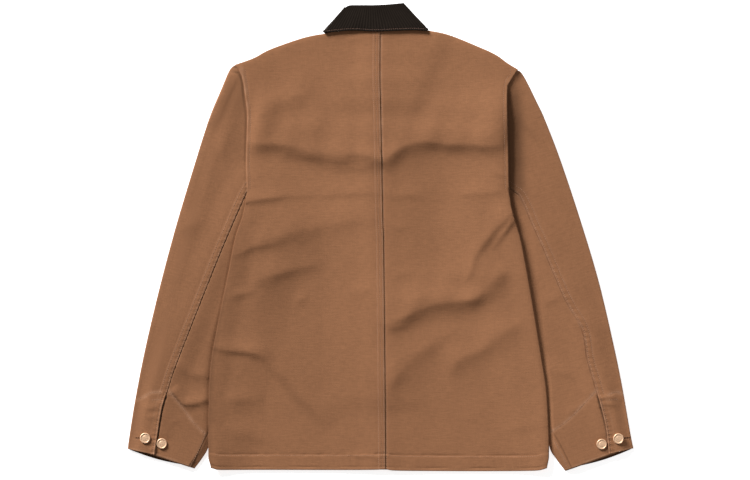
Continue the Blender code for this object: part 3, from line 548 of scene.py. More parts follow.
# Painted shade along the sleeves' creases and the left sleeve's outer fold.
SLEEVE_SHADE_LINES = (
    Fold(7, ((-276, 160, 0.1), (-264, 190, 0.45), (-252, 215, 0.4), (-236, 252, 0.5))),
    Fold(9, (
        (-286, 128, 0.1), (-300, 70, 0.35), (-306, 43, 0.45), (-322, -22, 0.35), (-336, -70, 0.2),
    )),
    Fold(9, ((-338, -80, 0.2), (-350, -136, 0.15), (-366, -201, 0.5), (-374, -250, 0.1))),
    Fold(7, ((224, 190, 0.25), (240, 172, 0.3), (262, 150, 0.1))),
)

# Painted shadow: lines drawn nearly black, along a crease of the left cuff and beside the left
# armhole.
SHADOW_LINES = {
    ("left", "inner"): (
        Fold(1.7, (
            (-344, -247, 0), (-337, -257, 0.5), (-328, -268, 0.55), (-319, -275, 0.45),
            (-296, -276, 0.2),
        )),
    ),
    ("left", "outer"): (
        Fold(1.9, (
            (-239, 277, 0.7), (-231, 266, 0.65), (-226.5, 254, 0.5), (-224.5, 235, 0.4),
            (-222, 212, 0.3), (-219.8, 190, 0.25), (-220.5, 150, 0.2), (-220.5, 110, 0),
        )),
    ),
}

# The right sleeve falls away from the body's edge: how far from it, and how much, at each height
# in plan.
Climb = namedtuple("Climb", "y across height")
CLIMBS = (
    Climb(-400, 6, 2.4),
    Climb(-200, 7, 2.8),
    Climb(-136, 12, 2.9),
    Climb(-6, 19, 3.2),
    Climb(50, 22, 1.0),
    Climb(85, 24, -0.6),
    Climb(200, 24, -0.5),
    Climb(238, 22, 1.6),
    Climb(258, 18, 4.2),
    Climb(266, 14, 3.4),
    Climb(276, 12, 2.0),
)

# Rows of stitches on the cuffs: the facing's edge, the bar across the vent's top, the inner seam.
CUFF_ROWS = {
    "left": {
        "outer": (
            ((-399, -267), (-386, -261), (-372, -254), (-358, -253)),
            ((-372, -266), (-355, -265)),
        ),
        "inner": (
            ((-346, -250), (-325, -275), (-306, -301), (-285, -322)),
            ((-285, -322), (-298, -352), (-311, -375)),
        ),
    },
    "right": {
        "outer": (((371, -258), (383, -253), (396, -257)), ((371, -266), (386, -265))),
        "inner": (
            ((350, -252), (336, -267), (305, -299), (279, -317)),
            ((276, -322), (288, -342), (306, -377)),
        ),
    },
}
CUFF_SEAM = {
    "left": ((-282, -321), (-296, -352), (-309, -378)),
    "right": ((279, -316), (293, -339), (312, -378)),
}
BUTTONHOLE = {"left": ((-398, -328.5), (-388, -328.5)), "right": ((394, -328.5), (407, -328.5))}

# Collar in plan: its corners, then the lines from side to side and from side to front end.
SLANT_LEFT = ((-94, 334), (-58.5, 373.8))
SLANT_RIGHT = ((78, 337), (37, 381))
FALL_HEM = ((-48, 335), (-8, 333.5), (50, 335.5))
FALL_FOLD = (
    (-55.5, 373.4), (-52, 374.7), (-46, 375.3), (-27, 374.9), (-10, 374.9), (12, 376.2), (30, 378),
)
LEAF_HEM_LEFT = ((-76, 288), (-50, 239))
LEAF_HEM_RIGHT = ((66, 288), (48, 239))
LEAF_FOLD_LEFT = ((-20, 340), (-4, 301))
LEAF_FOLD_RIGHT = ((14, 340), (4, 301))
STAND_CORNER_LEFT = (-70, 341.5)
STAND_CORNER_RIGHT = (56, 341.5)
STAND_BACK = ((-40, 343), (-1, 344), (34, 344))
STAND_LEFT = ((-66, 315), (-44, 293), (-6, 285.5))
STAND_RIGHT = ((54, 315), (42, 293), (6, 285.5))
LEAF_RING = ((-94, 334), (-50, 239), (48, 239), (80, 335), (0, 400))

CUFF_BUTTONS = tuple(f"cuff_button_{side}_{place}" for side in SIDES for place in ("tab", "panel"))
FRONT_BUTTONS = tuple(f"front_button_{number}" for number in range(1, 5))

# A stitch: rings along its length, as shares of its length, heights and radii in thread radii.
Ring = namedtuple("Ring", "along height radius")
STITCH_RINGS = (Ring(-0.38, 0.1, 0.9), Ring(0.0, 0.5, 1.0), Ring(0.38, 0.1, 0.9))
STITCH_TIP = Ring(0.5, -1.1, 0.0)
STITCH_SIDES = 5
STITCH_ASIDE = (-0.18, 0.18)
STITCH_LENGTH = (0.9, 1.06)
STITCH_READ = 0.25

# A button's disc and the steps of its face, as shares of its radius and its height: the rim, the
# step down to the face, a plain ring and the raised middle.
BUTTON_SIDES = 48
BUTTON_DISC = 0.72
Step = namedtuple("Step", "inset lift")
BUTTON_STEPS = (
    Step(0.10, 0.28), Step(0.07, 0.0), Step(0.05, -0.22), Step(0.30, 0.0), Step(0.05, 0.09),
    Step(0.05, -0.05), Step(0.20, 0.06),
)
BUTTON_BEVEL = 0.03
BEVEL_ANGLE = math.radians(25.0)
SMOOTH_ANGLE = math.radians(35.0)
FACES_UP = 0.9

# Noise in the finishes: its scale, its detail and its stretch along the axes.
MIDDLE = 0.5
EVEN = (1.0, 1.0, 1.0)
Noise = namedtuple("Noise", "scale detail stretch", defaults=(EVEN,))
NOISES = {
    "weft slub": Noise(1.0, 2.0, (75.0, 430.0, 1.0)),
    "warp slub": Noise(1.0, 2.0, (430.0, 75.0, 1.0)),
    "mottle": Noise(130.0, 3.0),
    "fleck": Noise(620.0, 2.0),
    "cloud": Noise(7.0, 2.0),
    "nap": Noise(1.0, 3.0, (1500.0, 260.0, 1.0)),
    "dust": Noise(60.0, 3.0),
    "twist": Noise(900.0, 2.0),
    "patina": Noise(420.0, 4.0),
    "scratch": Noise(1.0, 3.0, (400.0, 4200.0, 400.0)),
}
# The shares of the noises, and of what else goes with them, in each finish.
CANVAS_TONE = {"weft slub": 0.78, "warp slub": 0.42, "mottle": 0.28, "cloud": 0.12, "fleck": 0.3}
CANVAS_RELIEF = {"weft slub": 0.75, "warp slub": 0.4, "fleck": 0.25}
WEAVE_RELIEF = 0.5
WORN_EVEN = 0.55
WORN_FLECK = 0.9
CORDUROY_TONE = {"nap": 0.7, "dust": 0.5}
CORDUROY_LIGHT = 0.2
# The ribs' tone: grooves drawn darker, partly the cloth's own colour and partly painted shade.
RIB_TONE = 0.55
BRASS_TONE = {"patina": 1.3, "scratch": 0.7}
BRASS_LIGHT = 0.62
# The mean roughness of a finish and the share of a noise in it.
ROUGHNESS = {"canvas": (0.86, 0.1), "brass": (0.46, 0.3)}
SCRATCH_RELIEF = 0.5
# How far the bumps of each finish stand up, in metres.
BUMPS = {"canvas": 0.00022, "corduroy": 0.0002, "thread": 0.0001, "brass": 0.00006}
# The darkest and the lightest tone of each finish, as shares of its colour.
TONES = {
    "canvas": (0.80, 1.20),
    "corduroy": (0.6, 1.7),
    "thread": (0.78, 1.22),
    "brass": (0.72, 1.18),
}
# The colour of painted shade in gaps, as a share of the canvas's colour.
GAP_SHADE_TONE = 0.16
# The sockets of a Mix node that take its two colours.
MIX_FIRST = 6
MIX_SECOND = 7

# Stage, in metres.
FLOOR_SIZE = 60.0
FLOOR_DROP = -0.0005
FLOOR_COLOUR = (0.93, 0.93, 0.93)
FLOOR_GLOW = 0.75
SKY_COLOUR = (1.0, 1.0, 1.0)
SKY_STRENGTH = 0.2
SENSOR = 36.0
VIEW_WIDTH = 1.2225
CAMERA = (-0.009, -0.0057, 6.0)
CLIP_END = 24.0
Light = namedtuple("Light", "name place size power")
LIGHTS = (
    Light("key", (-8.6, 11.0, 6.3), 4.6, 5200.0),
    Light("fill", (1.9, -0.4, 1.9), 1.2, 8.0),
)


# ---------------------------------------------------------------- settings in the sidebar


def length_setting(name, description, default):
    """A length in the sidebar, in metres."""
    return bpy.props.FloatProperty(
        name=name, description=description, default=default, unit="LENGTH"
    )


def colour_setting(name, description, default):
    """A colour in the sidebar."""
    return bpy.props.FloatVectorProperty(
        name=name, description=description, default=default, subtype="COLOR"
    )


class JacketCloth(bpy.types.PropertyGroup):
    """Sizes of the cloth's finish."""

    crease_depth: bpy.props.FloatProperty(
        name="Crease depth",
        description="Share of the creases' own heights",
        default=1.0,
        min=0.0,
        max=2.0,
    )
    weave_pitch: length_setting(
        "Weave pitch", "Distance between neighbouring threads of the canvas", 0.0008
    )
    wale_pitch: length_setting(
        "Wale pitch", "Distance between neighbouring ribs of the corduroy", 0.0030
    )
    wale_height: length_setting(
        "Wale height", "How far the corduroy's ribs stand up", 0.00035
    )


class JacketSewing(bpy.types.PropertyGroup):
    """Sizes of the stitches."""

    stitch: length_setting("Stitch", "Length of a stitch that shows", 0.0026)
    pitch: length_setting("Stitch pitch", "Distance from one stitch to the next", 0.0034)
    thread: length_setting("Thread", "Thickness of the thread", 0.0006)


class JacketColours(bpy.types.PropertyGroup):
    """Colours of the finishes."""

    canvas: colour_setting("Canvas", "Colour of the canvas", (0.262, 0.119, 0.057))
    canvas_worn: colour_setting(
        "Worn canvas", "Colour of the canvas where it is rubbed", (0.36, 0.19, 0.11)
    )
    corduroy: colour_setting("Corduroy", "Colour of the collar", (0.0128, 0.0093, 0.0071))
    thread: colour_setting("Thread", "Colour of the thread on the canvas", (0.32, 0.168, 0.096))
    collar_thread: colour_setting(
        "Collar thread", "Colour of the thread on the collar", (0.16, 0.078, 0.05)
    )
    brass: colour_setting("Brass", "Colour of the buttons", (0.80, 0.52, 0.33))


# ---------------------------------------------------------------- lines and distances


def smooth(low, high, value):
    """0 below low, 1 above high, and an even curve between them."""
    share = np.clip((value - low) / (high - low), 0.0, 1.0)
    return share * share * (3.0 - 2.0 * share)


def fade(low, high, value):
    """1 below low, 0 above high, and an even curve between them."""
    return 1.0 - smooth(low, high, value)


def toward(start, end, share):
    """The value at a share of the way from the start to the end."""
    return start + (end - start) * share


def bump(value, middle, width):
    """1 at the middle and 0 far from it."""
    return np.exp(-(((value - middle) / width) ** 2))


def band(gap, name):
    """The share of a named band at the distance from its line."""
    form = BANDS[name]
    return form.share * bump(gap, form.at, form.width)


def flat_plan(points):
    """The points of a sheet in plan, in one row."""
    return points[..., :2].reshape(-1, 2)


def unit(vectors):
    """Each row of vectors, made 1 long."""
    return vectors / np.linalg.norm(vectors, axis=-1)[..., None]


def spline(points, steps=SPLINE_STEPS):
    """A smooth run of points through the given ones."""
    points = np.array(points, float)
    ends = np.vstack([2 * points[0] - points[1], points, 2 * points[-1] - points[-2]])
    t = np.linspace(0.0, 1.0, steps, endpoint=False)[:, None]
    runs = []
    for a, b, c, d in zip(ends, ends[1:], ends[2:], ends[3:]):
        cubic = (3 * b - a - 3 * c + d) * t**3
        square = (2 * a - 5 * b + 4 * c - d) * t**2
        runs.append(0.5 * (2 * b + (c - a) * t + square + cubic))
    return np.vstack(runs + [points[-1:]])


class Line:
    """A line in plan, read by the share of its length."""

    def __init__(self, points):
        self.points = np.array(points, float)
        steps = np.linalg.norm(np.diff(self.points, axis=0), axis=1)
        self.share = np.concatenate([[0.0], np.cumsum(steps)]) / steps.sum()
        self.length = steps.sum()

    def at(self, share):
        """The points at these shares of the line's length."""
        x, y = (np.interp(share, self.share, values) for values in self.points.T)
        return np.stack([x, y], axis=-1)

    def reversed(self):
        return Line(self.points[::-1])

    def between(self, low, high):
        """The part of the line between two heights in plan."""
        inside = (self.points[:, 1] > low) & (self.points[:, 1] < high)
        return Line(self.points[inside])

    def shifted(self, distance):
        """The line moved to its left by a distance."""
        along = unit(np.gradient(self.points, axis=0))
        return Line(self.points + distance * np.column_stack([-along[:, 1], along[:, 0]]))


def curve(points):
    """The smooth line through the points."""
    return Line(spline(points))


def joined(*lines):
    """Lines laid end to end, as one line."""
    return Line(np.vstack([lines[0].points] + [line.points[1:] for line in lines[1:]]))


def distance(points, line):
    """The distance from each point to a line."""
    nearest = np.full(len(points), np.inf)
    for start, end in zip(line.points, line.points[1:]):
        ahead = end - start
        offset = points - start
        share = np.clip(offset @ ahead / (ahead @ ahead), 0.0, 1.0)
        gap = np.hypot(offset[:, 0] - share * ahead[0], offset[:, 1] - share * ahead[1])
        np.minimum(nearest, gap, out=nearest)
    return nearest


def beside(points, line):
    """The distance to the left of a line, and the line's third value, at each point."""
    offset = np.full(len(points), np.inf)
    nearest = np.full(len(points), np.inf)
    value = np.zeros(len(points))
    for start, end in zip(line, line[1:]):
        run = end[:2] - start[:2]
        away = points - start[:2]
        share = np.clip(away @ run / (run @ run), 0.0, 1.0)
        gap = away - share[:, None] * run
        reach = np.hypot(gap[:, 0], gap[:, 1])
        closer = reach < nearest
        side = np.sign(run[0] * away[:, 1] - run[1] * away[:, 0])
        offset = np.where(closer, side * reach, offset)
        value = np.where(closer, start[2] + share * (end[2] - start[2]), value)
        nearest = np.minimum(nearest, reach)
    return offset, value


def outside(points, ring):
    """The distance from each point to a closed ring, less than 0 inside it."""
    start = np.array(ring, float)
    end = np.roll(start, -1, axis=0)
    crossings = np.zeros(len(points), int)
    for (x0, y0), (x1, y1) in zip(start, end):
        if y0 == y1:
            continue
        crosses = (y0 > points[:, 1]) != (y1 > points[:, 1])
        meets = x0 + (points[:, 1] - y0) * (x1 - x0) / (y1 - y0)
        crossings += crosses & (points[:, 0] < meets)
    gap = distance(points, Line(np.vstack([start, start[:1]])))
    return np.where(crossings % 2 == 1, -gap, gap)


def patch(low, high, left, right, across, along):
    """Points (along, across) of the sheet that four lines bound."""
    u = np.asarray(across)[None, :, None]
    v = np.asarray(along)[:, None, None]
    by_rows = (1 - v) * low.at(across)[None] + v * high.at(across)[None]
    by_columns = (1 - u) * left.at(along)[:, None] + u * right.at(along)[:, None]
    corners = (1 - v) * ((1 - u) * low.at(0.0) + u * low.at(1.0))
    corners = corners + v * ((1 - u) * high.at(0.0) + u * high.at(1.0))
    return by_rows + by_columns - corners


def shares(length, low=0.0, high=0.0, step=GRID):
    """Shares of a length, fine over its first and last stretches and wider between them."""
    stops = [np.linspace(0.0, low, round(low / FINE_GRID), endpoint=False)]
    between = length - low - high
    stops.append(low + between * np.linspace(0.0, 1.0, round(between / step), endpoint=False))
    stops.append(np.linspace(length - high, length, round(high / FINE_GRID) + 1))
    return np.concatenate(stops) / length


def waver(points, span, seed):
    """An uneven value, mostly between -1 and 1, that changes over the span."""
    draw = np.random.default_rng(seed)
    total = np.zeros(len(points))
    for turn in WAVE_TURNS:
        pitch = span * draw.uniform(*WAVE_PITCHES)
        run = points[:, 0] * math.cos(turn) + points[:, 1] * math.sin(turn)
        total += np.sin(run * math.tau / pitch + draw.uniform(0.0, math.tau))
    return total / WAVE_SUM


def uneven(points, name):
    """A named value that changes unevenly over the cloth."""
    row = UNEVEN[name]
    return row.mean + row.stray * waver(points, row.span, row.seed)


def edge_x(side, y):
    """The x of the body's outline on one side, at each height."""
    points = EDGE[side].points
    return np.interp(y, points[:, 1], points[:, 0])


def edge_run(side, bottom, top, inset=0.0):
    """The stretch of the body's outline between two heights, moved inward by the inset."""
    heights = np.linspace(bottom, top, LINE_POINTS)
    return Line(np.column_stack([edge_x(side, heights) + INWARD[side] * inset, heights]))


def sleeve_line(side, name):
    """One lengthwise line of a sleeve, from the cuff to the cap."""
    rows = [(getattr(row, name + "_x"), getattr(row, name + "_y")) for row in SECTIONS[side]]
    return curve(rows[::-1])


def hidden_ring(side):
    """The ring round the part of a sleeve that lies under the body."""
    inner = INNER[side].points
    far = BEYOND_SLEEVES * -INWARD[side]
    armpit = (edge_x(side, UNDERARM_Y) + INWARD[side] * ARMHOLE_INSET, UNDERARM_Y)
    return np.vstack([inner, [armpit], [(far, UNDERARM_Y)], [(far, inner[0, 1])]])


def cuff_edge(side):
    """The line across a sleeve's end, from its outer fold to its inner one."""
    return Line([line[side].at(0.0) for line in (OUTER, ELBOW, INNER)])


EDGE = {side: curve([(getattr(row, side), row.y) for row in BODY]) for side in SIDES}
SHOULDER = {"left": curve(SHOULDER_LEFT), "right": curve(SHOULDER_RIGHT)}
SECTIONS = {"left": SLEEVE_LEFT, "right": SLEEVE_RIGHT}
NECK = {"left": curve(NECK_LEFT), "right": curve(NECK_RIGHT)}
HEM = {"left": curve(HEM_LEFT), "right": curve(HEM_RIGHT)}
FRONT_NECK = {"left": curve(FRONT_NECK_LEFT), "right": curve(FRONT_NECK_RIGHT)}
CENTRE = curve(CENTRE_BACK)
OUTER = {side: sleeve_line(side, "outer") for side in SIDES}
ELBOW = {side: sleeve_line(side, "seam") for side in SIDES}
INNER = {side: sleeve_line(side, "inner") for side in SIDES}
HIDDEN = {side: hidden_ring(side) for side in SIDES}
SIDE_SEAM = {side: edge_run(side, HEM_Y, UNDERARM_Y) for side in SIDES}
ARMHOLE = {side: edge_run(side, UNDERARM_Y, ARMHOLE_TOP) for side in SIDES}


# ---------------------------------------------------------------- heights


def crease_relief(points, creases):
    """The sum of the creases at each point, uneven in line and depth."""
    wobble = uneven(points, "crease line")
    depth = uneven(points, "crease depth")
    total = np.zeros(len(points))
    for crease in creases:
        line = spline(crease.line, CREASE_STEPS)
        reach = CREASE_REACH * max(crease.up, crease.down)
        near = np.all(points > line[:, :2].min(axis=0) - reach, axis=1)
        near &= np.all(points < line[:, :2].max(axis=0) + reach, axis=1)
        if not near.any():
            continue
        offset, share = beside(points[near], line)
        across = offset + wobble[near] * min(1.0, crease.down / CREASE_WIDE)
        across = across - STEEPEST * crease.down
        width = np.where(across > 0, crease.up, crease.down)
        ridge = np.exp(-np.abs(across / width) ** CREASE_POWER)
        total[near] += crease.height * np.clip(share, 0.0, None) * ridge
    return total * depth * bpy.context.scene.jacket_cloth.crease_depth


def shading(points, shades, shade_lines):
    """How much painted shade darkens the cloth at each point, along lines and in patches; below 0
    it is painted light.
    """
    total = np.zeros(len(points))
    for fold in shade_lines:
        offset, share = beside(points, spline(fold.line, CREASE_STEPS))
        total += share * bump(offset, 0.0, fold.width)
    for shade in shades:
        across = (points[:, 0] - shade.x) / shade.reach_x
        along = (points[:, 1] - shade.y) / shade.reach_y
        total += shade.share * np.exp(-(across**2) - along**2)
    return total


def sleeve_lift(points):
    """How far the fronts ride up over both sleeves."""
    lifts = [SLEEVE_LIFT * fade(*SLEEVE_LIFT_RAMP, outside(points, HIDDEN[side])) for side in SIDES]
    return np.maximum(*lifts)


def side_rise(points):
    """How far both layers of the body rise to their sides, over the parts of the sleeves there."""
    rise = np.zeros(len(points))
    for side in SIDES:
        rise += SIDE_RISE[side] * fade(*SIDE_RISE_RAMP, distance(points, SIDE_SEAM[side]))
    return rise * fade(UNDERARM_Y - UNDERARM_TURN, UNDERARM_Y, points[:, 1])


def leaf_lift(points):
    """How far the fronts ride up over the collar's leaves."""
    return LEAF_LIFT * fade(*LEAF_RAMP, outside(points, LEAF_RING))


def rail_lift(points, foot):
    """How far the fronts' edges stand up on their buttons."""
    across = fade(RAIL_LEVEL, foot, np.abs(points[:, 0]))
    low = smooth(RAIL_BOTTOM - RAIL_END, RAIL_BOTTOM, points[:, 1])
    high = fade(RAIL_TOP, RAIL_TOP + RAIL_END, points[:, 1])
    return RAIL_LIFT * across * low * high


def front_under(points, side):
    """The underside of a front."""
    height = sleeve_lift(points) + side_rise(points) + leaf_lift(points)
    height += rail_lift(points, RAIL_FOOT)
    if side == "right":
        height += LAP_RISE * fade(*OVERLAP_RAMP, points[:, 0])
    return height


def valley(points):
    """How far the back rises from its centre seam to its sides, less so toward the hem."""
    rise = np.where(points[:, 0] < 0.0, VALLEY["left"], VALLEY["right"])
    along = smooth(*VALLEY_RAMP, points[:, 1])
    along = along * (1.0 - VALLEY_FADE * smooth(*VALLEY_END, points[:, 1]))
    return rise * along * np.abs(points[:, 0] / VALLEY_REACH) ** VALLEY_POWER


def back_under(points):
    """The underside of the back, without its centre seam."""
    near = np.zeros(len(points))
    roll = np.zeros(len(points))
    for side in SIDES:
        rise = ARMHOLE_RISE[side] * fade(*ARMHOLE_RAMP[side], distance(points, ARMHOLE[side]))
        rise = rise * (1.0 - ARMHOLE_FALL[side] * smooth(*ARMHOLE_FALL_RAMP, points[:, 1]))
        near = np.maximum(near, rise)
        to_edge = np.minimum(distance(points, SIDE_SEAM[side]), distance(points, SHOULDER[side]))
        roll = np.maximum(roll, EDGE_AIR * fade(*EDGE_AIR_RAMP, to_edge))
    lift = (sleeve_lift(points) ** BLEND + near**BLEND) ** (1 / BLEND) + side_rise(points)
    crown = LAP_RISE * fade(*CROWN_RAMP, points[:, 1])
    crown = crown * fade(CROWN_LEVEL, CROWN_RUN, np.abs(points[:, 0]))
    neck = fade(0.0, NECK_RUN, NECK_Y - points[:, 1])
    relief = crease_relief(points, BACK_CREASES) + valley(points)
    height = WALL + AIR + lift + leaf_lift(points) + crown + rail_lift(points, CROWN_RUN)
    return height + (roll + relief) * (1.0 - neck) + NECK_STEP * neck


def sunk(gap, rows):
    """How far the rows of stitches pull the cloth down, at their distances from a seam."""
    return -SINK * sum(bump(gap, row, SINK_WIDTH) for row in rows)


def seam_puckers(points, gap, puckers):
    """Small ripples across a seam that its stitches draw up."""
    stray = PUCKER_STRAY * waver(points, PUCKER_SPAN * puckers.pitch, puckers.seed)
    wave = 0.5 * (1.0 + np.sin(points[:, 1] * math.tau / puckers.pitch + stray))
    return puckers.height * (wave * fade(PUCKER_LEVEL * puckers.reach, puckers.reach, gap))


def hem_finish(points, side):
    """The turned-up hem: one step thicker below its stitches, with slanting puckers."""
    to_hem = distance(points, HEM[side])
    slant = (points[:, 0] + HEM_SLANT * to_hem) * math.tau / HEM_PITCH
    pucker = band(to_hem, "hem puckers") * np.sin(slant + uneven(points, "hem slant"))
    drawn = uneven(points, "hem row") + uneven(points, "hem row, fine")
    height = HEM_STEP * fade(*HEM_RAMP, to_hem) + pucker * uneven(points, "hem puckers")
    height -= band(to_hem, "hem row") * drawn
    return height - band(to_hem, "hem groove") * uneven(points, "hem groove")


def seam_bank(points, line, clear_side, bank):
    """How far a lower panel rises to a seam: under the upper one, and more beyond its edge."""
    offset, _ = beside(points, np.column_stack([line.points, line.points[:, 0]]))
    clear = clear_side * offset
    rise = bank.under + (bank.beyond - bank.under) * smooth(0.0, BANK_EDGE, clear)
    reach = np.where(clear > 0.0, BANK_REACH.beyond, BANK_REACH.under)
    return rise * fade(BANK_LEVEL, reach, np.abs(clear))


def back_top(points, side):
    """The upper face of one half of the back. The left half laps over the right one."""
    to_centre = distance(points, CENTRE)
    to_arm = distance(points, ARMHOLE[side])
    height = back_under(points) + WALL + uneven(points, "back") + hem_finish(points, side)
    height += uneven(points, "back, fine")
    height += band(to_arm, f"armhole bead {side}") + sunk(to_arm, (ARMHOLE_ROW,))
    if side == "left":
        height += LAP_RISE * fade(*LAP_RAMP, to_centre)
        height += FELL_STEP["left"] * fade(*FELL_RAMP, to_centre)
        height += sunk(to_centre, CENTRE_ROWS) - SEAM_DROP * fade(*SEAM_DROP_RAMP, to_centre)
    else:
        height += sunk(to_centre, (-CENTRE_FAR_ROW,))
        height += seam_bank(points, CENTRE, -1.0, CENTRE_BANK)
    return height + seam_puckers(points, to_centre, CENTRE_PUCKERS[side])


def climb(points, depth):
    """How far the right sleeve climbs toward the body's edge."""
    heights, *columns = np.array(CLIMBS, float).T
    across, height = (np.interp(points[:, 1], heights, column) for column in columns)
    share = np.clip(1.0 + np.minimum(depth, 0.0) / across, 0.0, 1.0) ** 2
    return height * share * fade(0.0, CLIMB_UNDER, depth)


def sleeve_top(points, side, layer):
    """The upper face of a sleeve. The outer panel laps over the inner one at the elbow seam."""
    to_seam = distance(points, ELBOW[side])
    depth = INWARD[side] * (points[:, 0] - edge_x(side, points[:, 1]))
    lower = fade(*FREE_TURN, points[:, 1])
    start, end = (toward(high, low, lower) for high, low in zip(FREE[side], FREE_LOW[side]))
    free = fade(start, end, depth)
    at_cuff = fade(CUFF_FULL, CUFF_START, points[:, 1])
    outer_run = toward(SWELL_OUTER, SWELL_CUFF["outer"], at_cuff)
    inner_run = toward(SWELL_RUN[side], SWELL_CUFF["inner"], at_cuff)
    swell = smooth(SWELL_START, outer_run, distance(points, OUTER[side]))
    swell = swell * smooth(SWELL_START, inner_run, distance(points, INNER[side]))
    swell = (SLEEVE_SWELL[side] + CUFF_SWELL[side] * at_cuff) * swell
    relief = crease_relief(points, SLEEVE_CREASES) + uneven(points, "sleeve")
    height = SLEEVE_FLAT + (swell + relief) * free - band(depth, f"gutter {side}")
    if side == "right":
        height += climb(points, depth)
    sewn = smooth(*VENT_RAMP, points[:, 1])
    if layer == "outer":
        height += SLEEVE_LAP_RISE * fade(*LAP_RAMP, to_seam)
        height += FELL_STEP[side] * fade(*FELL_RAMP, to_seam) * sewn
        height += sunk(to_seam, ELBOW_ROWS) * sewn + sunk(to_seam, (VENT_ROW,)) * (1.0 - sewn)
        height += seam_puckers(points, to_seam, ELBOW_PUCKERS)
        edge = VENT_LIFT * fade(*VENT_LIFT_RAMP, to_seam) + band(to_seam, "vent bead")
        height += edge * (1.0 - sewn)
    else:
        at_slit = sewn + SLIT_FILL * (1.0 - sewn) * smooth(*SLIT_FILL_END, points[:, 1])
        height += seam_bank(points, ELBOW[side], -INWARD[side], ELBOW_BANK) * at_slit
    for row in CUFF_ROWS[side][layer]:
        height += sunk(distance(points, curve(row)), (0.0,)) * free
    return height - HOLLOW * hollows(points, side, layer) * free


def hollows(points, side, layer):
    """The narrow gaps of a cuff: beside the vent's edge, along its inner seam, its buttonhole."""
    if layer == "outer":
        return band(distance(points, Line(BUTTONHOLE[side])), "buttonhole")
    above_end = toward(SLIT_END[side], 1.0, smooth(*SLIT_FADE[side], points[:, 1]))
    gap = band(distance(points, ELBOW[side]), "slit") * fade(*SLIT_TOP, points[:, 1]) * above_end
    return np.maximum(gap, band(distance(points, curve(CUFF_SEAM[side])), "cuff seam"))


def painted_gap_shade(points, side, layer):
    """Painted shade: how dark the gaps of a cuff and the inside of its mouth are drawn, with a
    painted shadow beside the right armhole.
    """
    plan = flat_plan(points)
    height = points[..., 2].reshape(-1)
    mouth = MOUTH_DARK * fade(*MOUTH_RAMP, distance(plan, cuff_edge(side)))
    shade_lines = shading(plan, (), SHADOW_LINES.get((side, layer), ()))
    above = np.maximum(HOLLOW_DARK * hollows(plan, side, layer), shade_lines)
    gap = np.maximum((height < UNDERSIDE_TOP) * mouth, (height > UPPER_BOTTOM) * above)
    # Painted shadow of the body's raised edge: a dark band on the right sleeve beside the armhole.
    if side == "right":
        beyond = edge_x(side, plan[:, 1]) - plan[:, 0]
        along = smooth(*ARMHOLE_DARK_START, plan[:, 1]) * fade(*ARMHOLE_DARK_END, plan[:, 1])
        start, turn = ARMHOLE_DARK_AT
        middle = start + turn * smooth(*ARMHOLE_DARK_TURN, plan[:, 1])
        gap = np.maximum(gap, ARMHOLE_DARK * bump(beyond, middle, ARMHOLE_DARK_WIDTH) * along)
    return gap


def painted_side_shade(points, side):
    """Painted shade: how dark the back is drawn where its edge turns down beside a sleeve."""
    plan = flat_plan(points)
    low = 1.0 - SIDE_DARK_LOSS * smooth(*SIDE_DARK_RAMP, plan[:, 1])
    return band(distance(plan, SIDE_SEAM[side]), f"side dark {side}") * low


def body_wear(points, side):
    """How rubbed the back is: along its seams, edges and hem, with a painted highlight on the left
    armhole's lit edge.
    """
    plan = flat_plan(points)
    to_centre = distance(plan, CENTRE)
    high = toward(WEAR_LOW, 1.0, smooth(*WEAR_RAMP, plan[:, 1]))
    worn = high * band(distance(plan, ARMHOLE[side]), f"armhole wear and highlight {side}")
    worn += band(distance(plan, HEM[side]), "hem wear")
    centre = band(to_centre, f"centre wear {side}")
    if side == "left":
        worn += centre + band(to_centre, "centre lap wear")
    else:
        worn += smooth(*CENTRE_WEAR_RAMP, plan[:, 1]) * centre
    return np.clip(worn * uneven(plan, "back wear"), 0.0, 1.0)


def sleeve_wear(points, side, layer):
    """How rubbed a sleeve is: along its seams, its folds, the facing and the cuff's edge."""
    plan = flat_plan(points)
    to_seam = distance(plan, ELBOW[side])
    facing, bar = (distance(plan, curve(row)) for row in CUFF_ROWS[side][layer])
    worn = band(to_seam, "elbow wear") + fade(*VENT_RAMP, plan[:, 1]) * band(to_seam, "vent wear")
    if layer == "outer":
        worn += band(to_seam, "elbow lap wear")
    worn += band(distance(plan, OUTER[side]), "outer fold wear")
    worn += band(facing, "facing wear") + band(bar, "bar wear")
    at_cuff = CUFF_WEAR * fade(*CUFF_WEAR_RAMP, distance(plan, cuff_edge(side)))
    return np.clip(np.maximum(worn, at_cuff) * uneven(plan, "sleeve wear"), 0.0, 1.0)


# ---------------------------------------------------------------- objects


def deselect():
    """Deselects everything, so that an operator acts on what comes next alone."""
    for obj in bpy.context.selected_objects:
        obj.select_set(False)


def activate(obj):
    """Makes an object the only selected one and the active one."""
    deselect()
    obj.select_set(True)
    bpy.context.view_layer.objects.active = obj


def named(obj, name, material):
    """Gives an object and its mesh their name and its finish."""
    obj.name = name
    obj.data.name = name
    obj.data.materials.append(material)
    return obj


def finished(obj, modifier):
    """Applies a modifier to its object."""
    activate(obj)
    bpy.ops.object.modifier_apply(modifier=modifier.name)


def steps_along(points, axis):
    """The distances between neighbouring points of a sheet, along one of its axes."""
    return np.linalg.norm(np.diff(points, axis=axis), axis=-1)


def cut_size(points):
    """(width, length) and area of a sheet as it is cut, in metres."""
    across = steps_along(points, 1).sum(axis=1)
    along = steps_along(points, 0).sum(axis=0)
    first = points[1:, 1:] - points[:-1, :-1]
    second = points[1:, :-1] - points[:-1, 1:]
    area = np.linalg.norm(np.cross(first, second), axis=-1).sum() / 2
    return (across.max() * MM, along.max() * MM), area * MM * MM


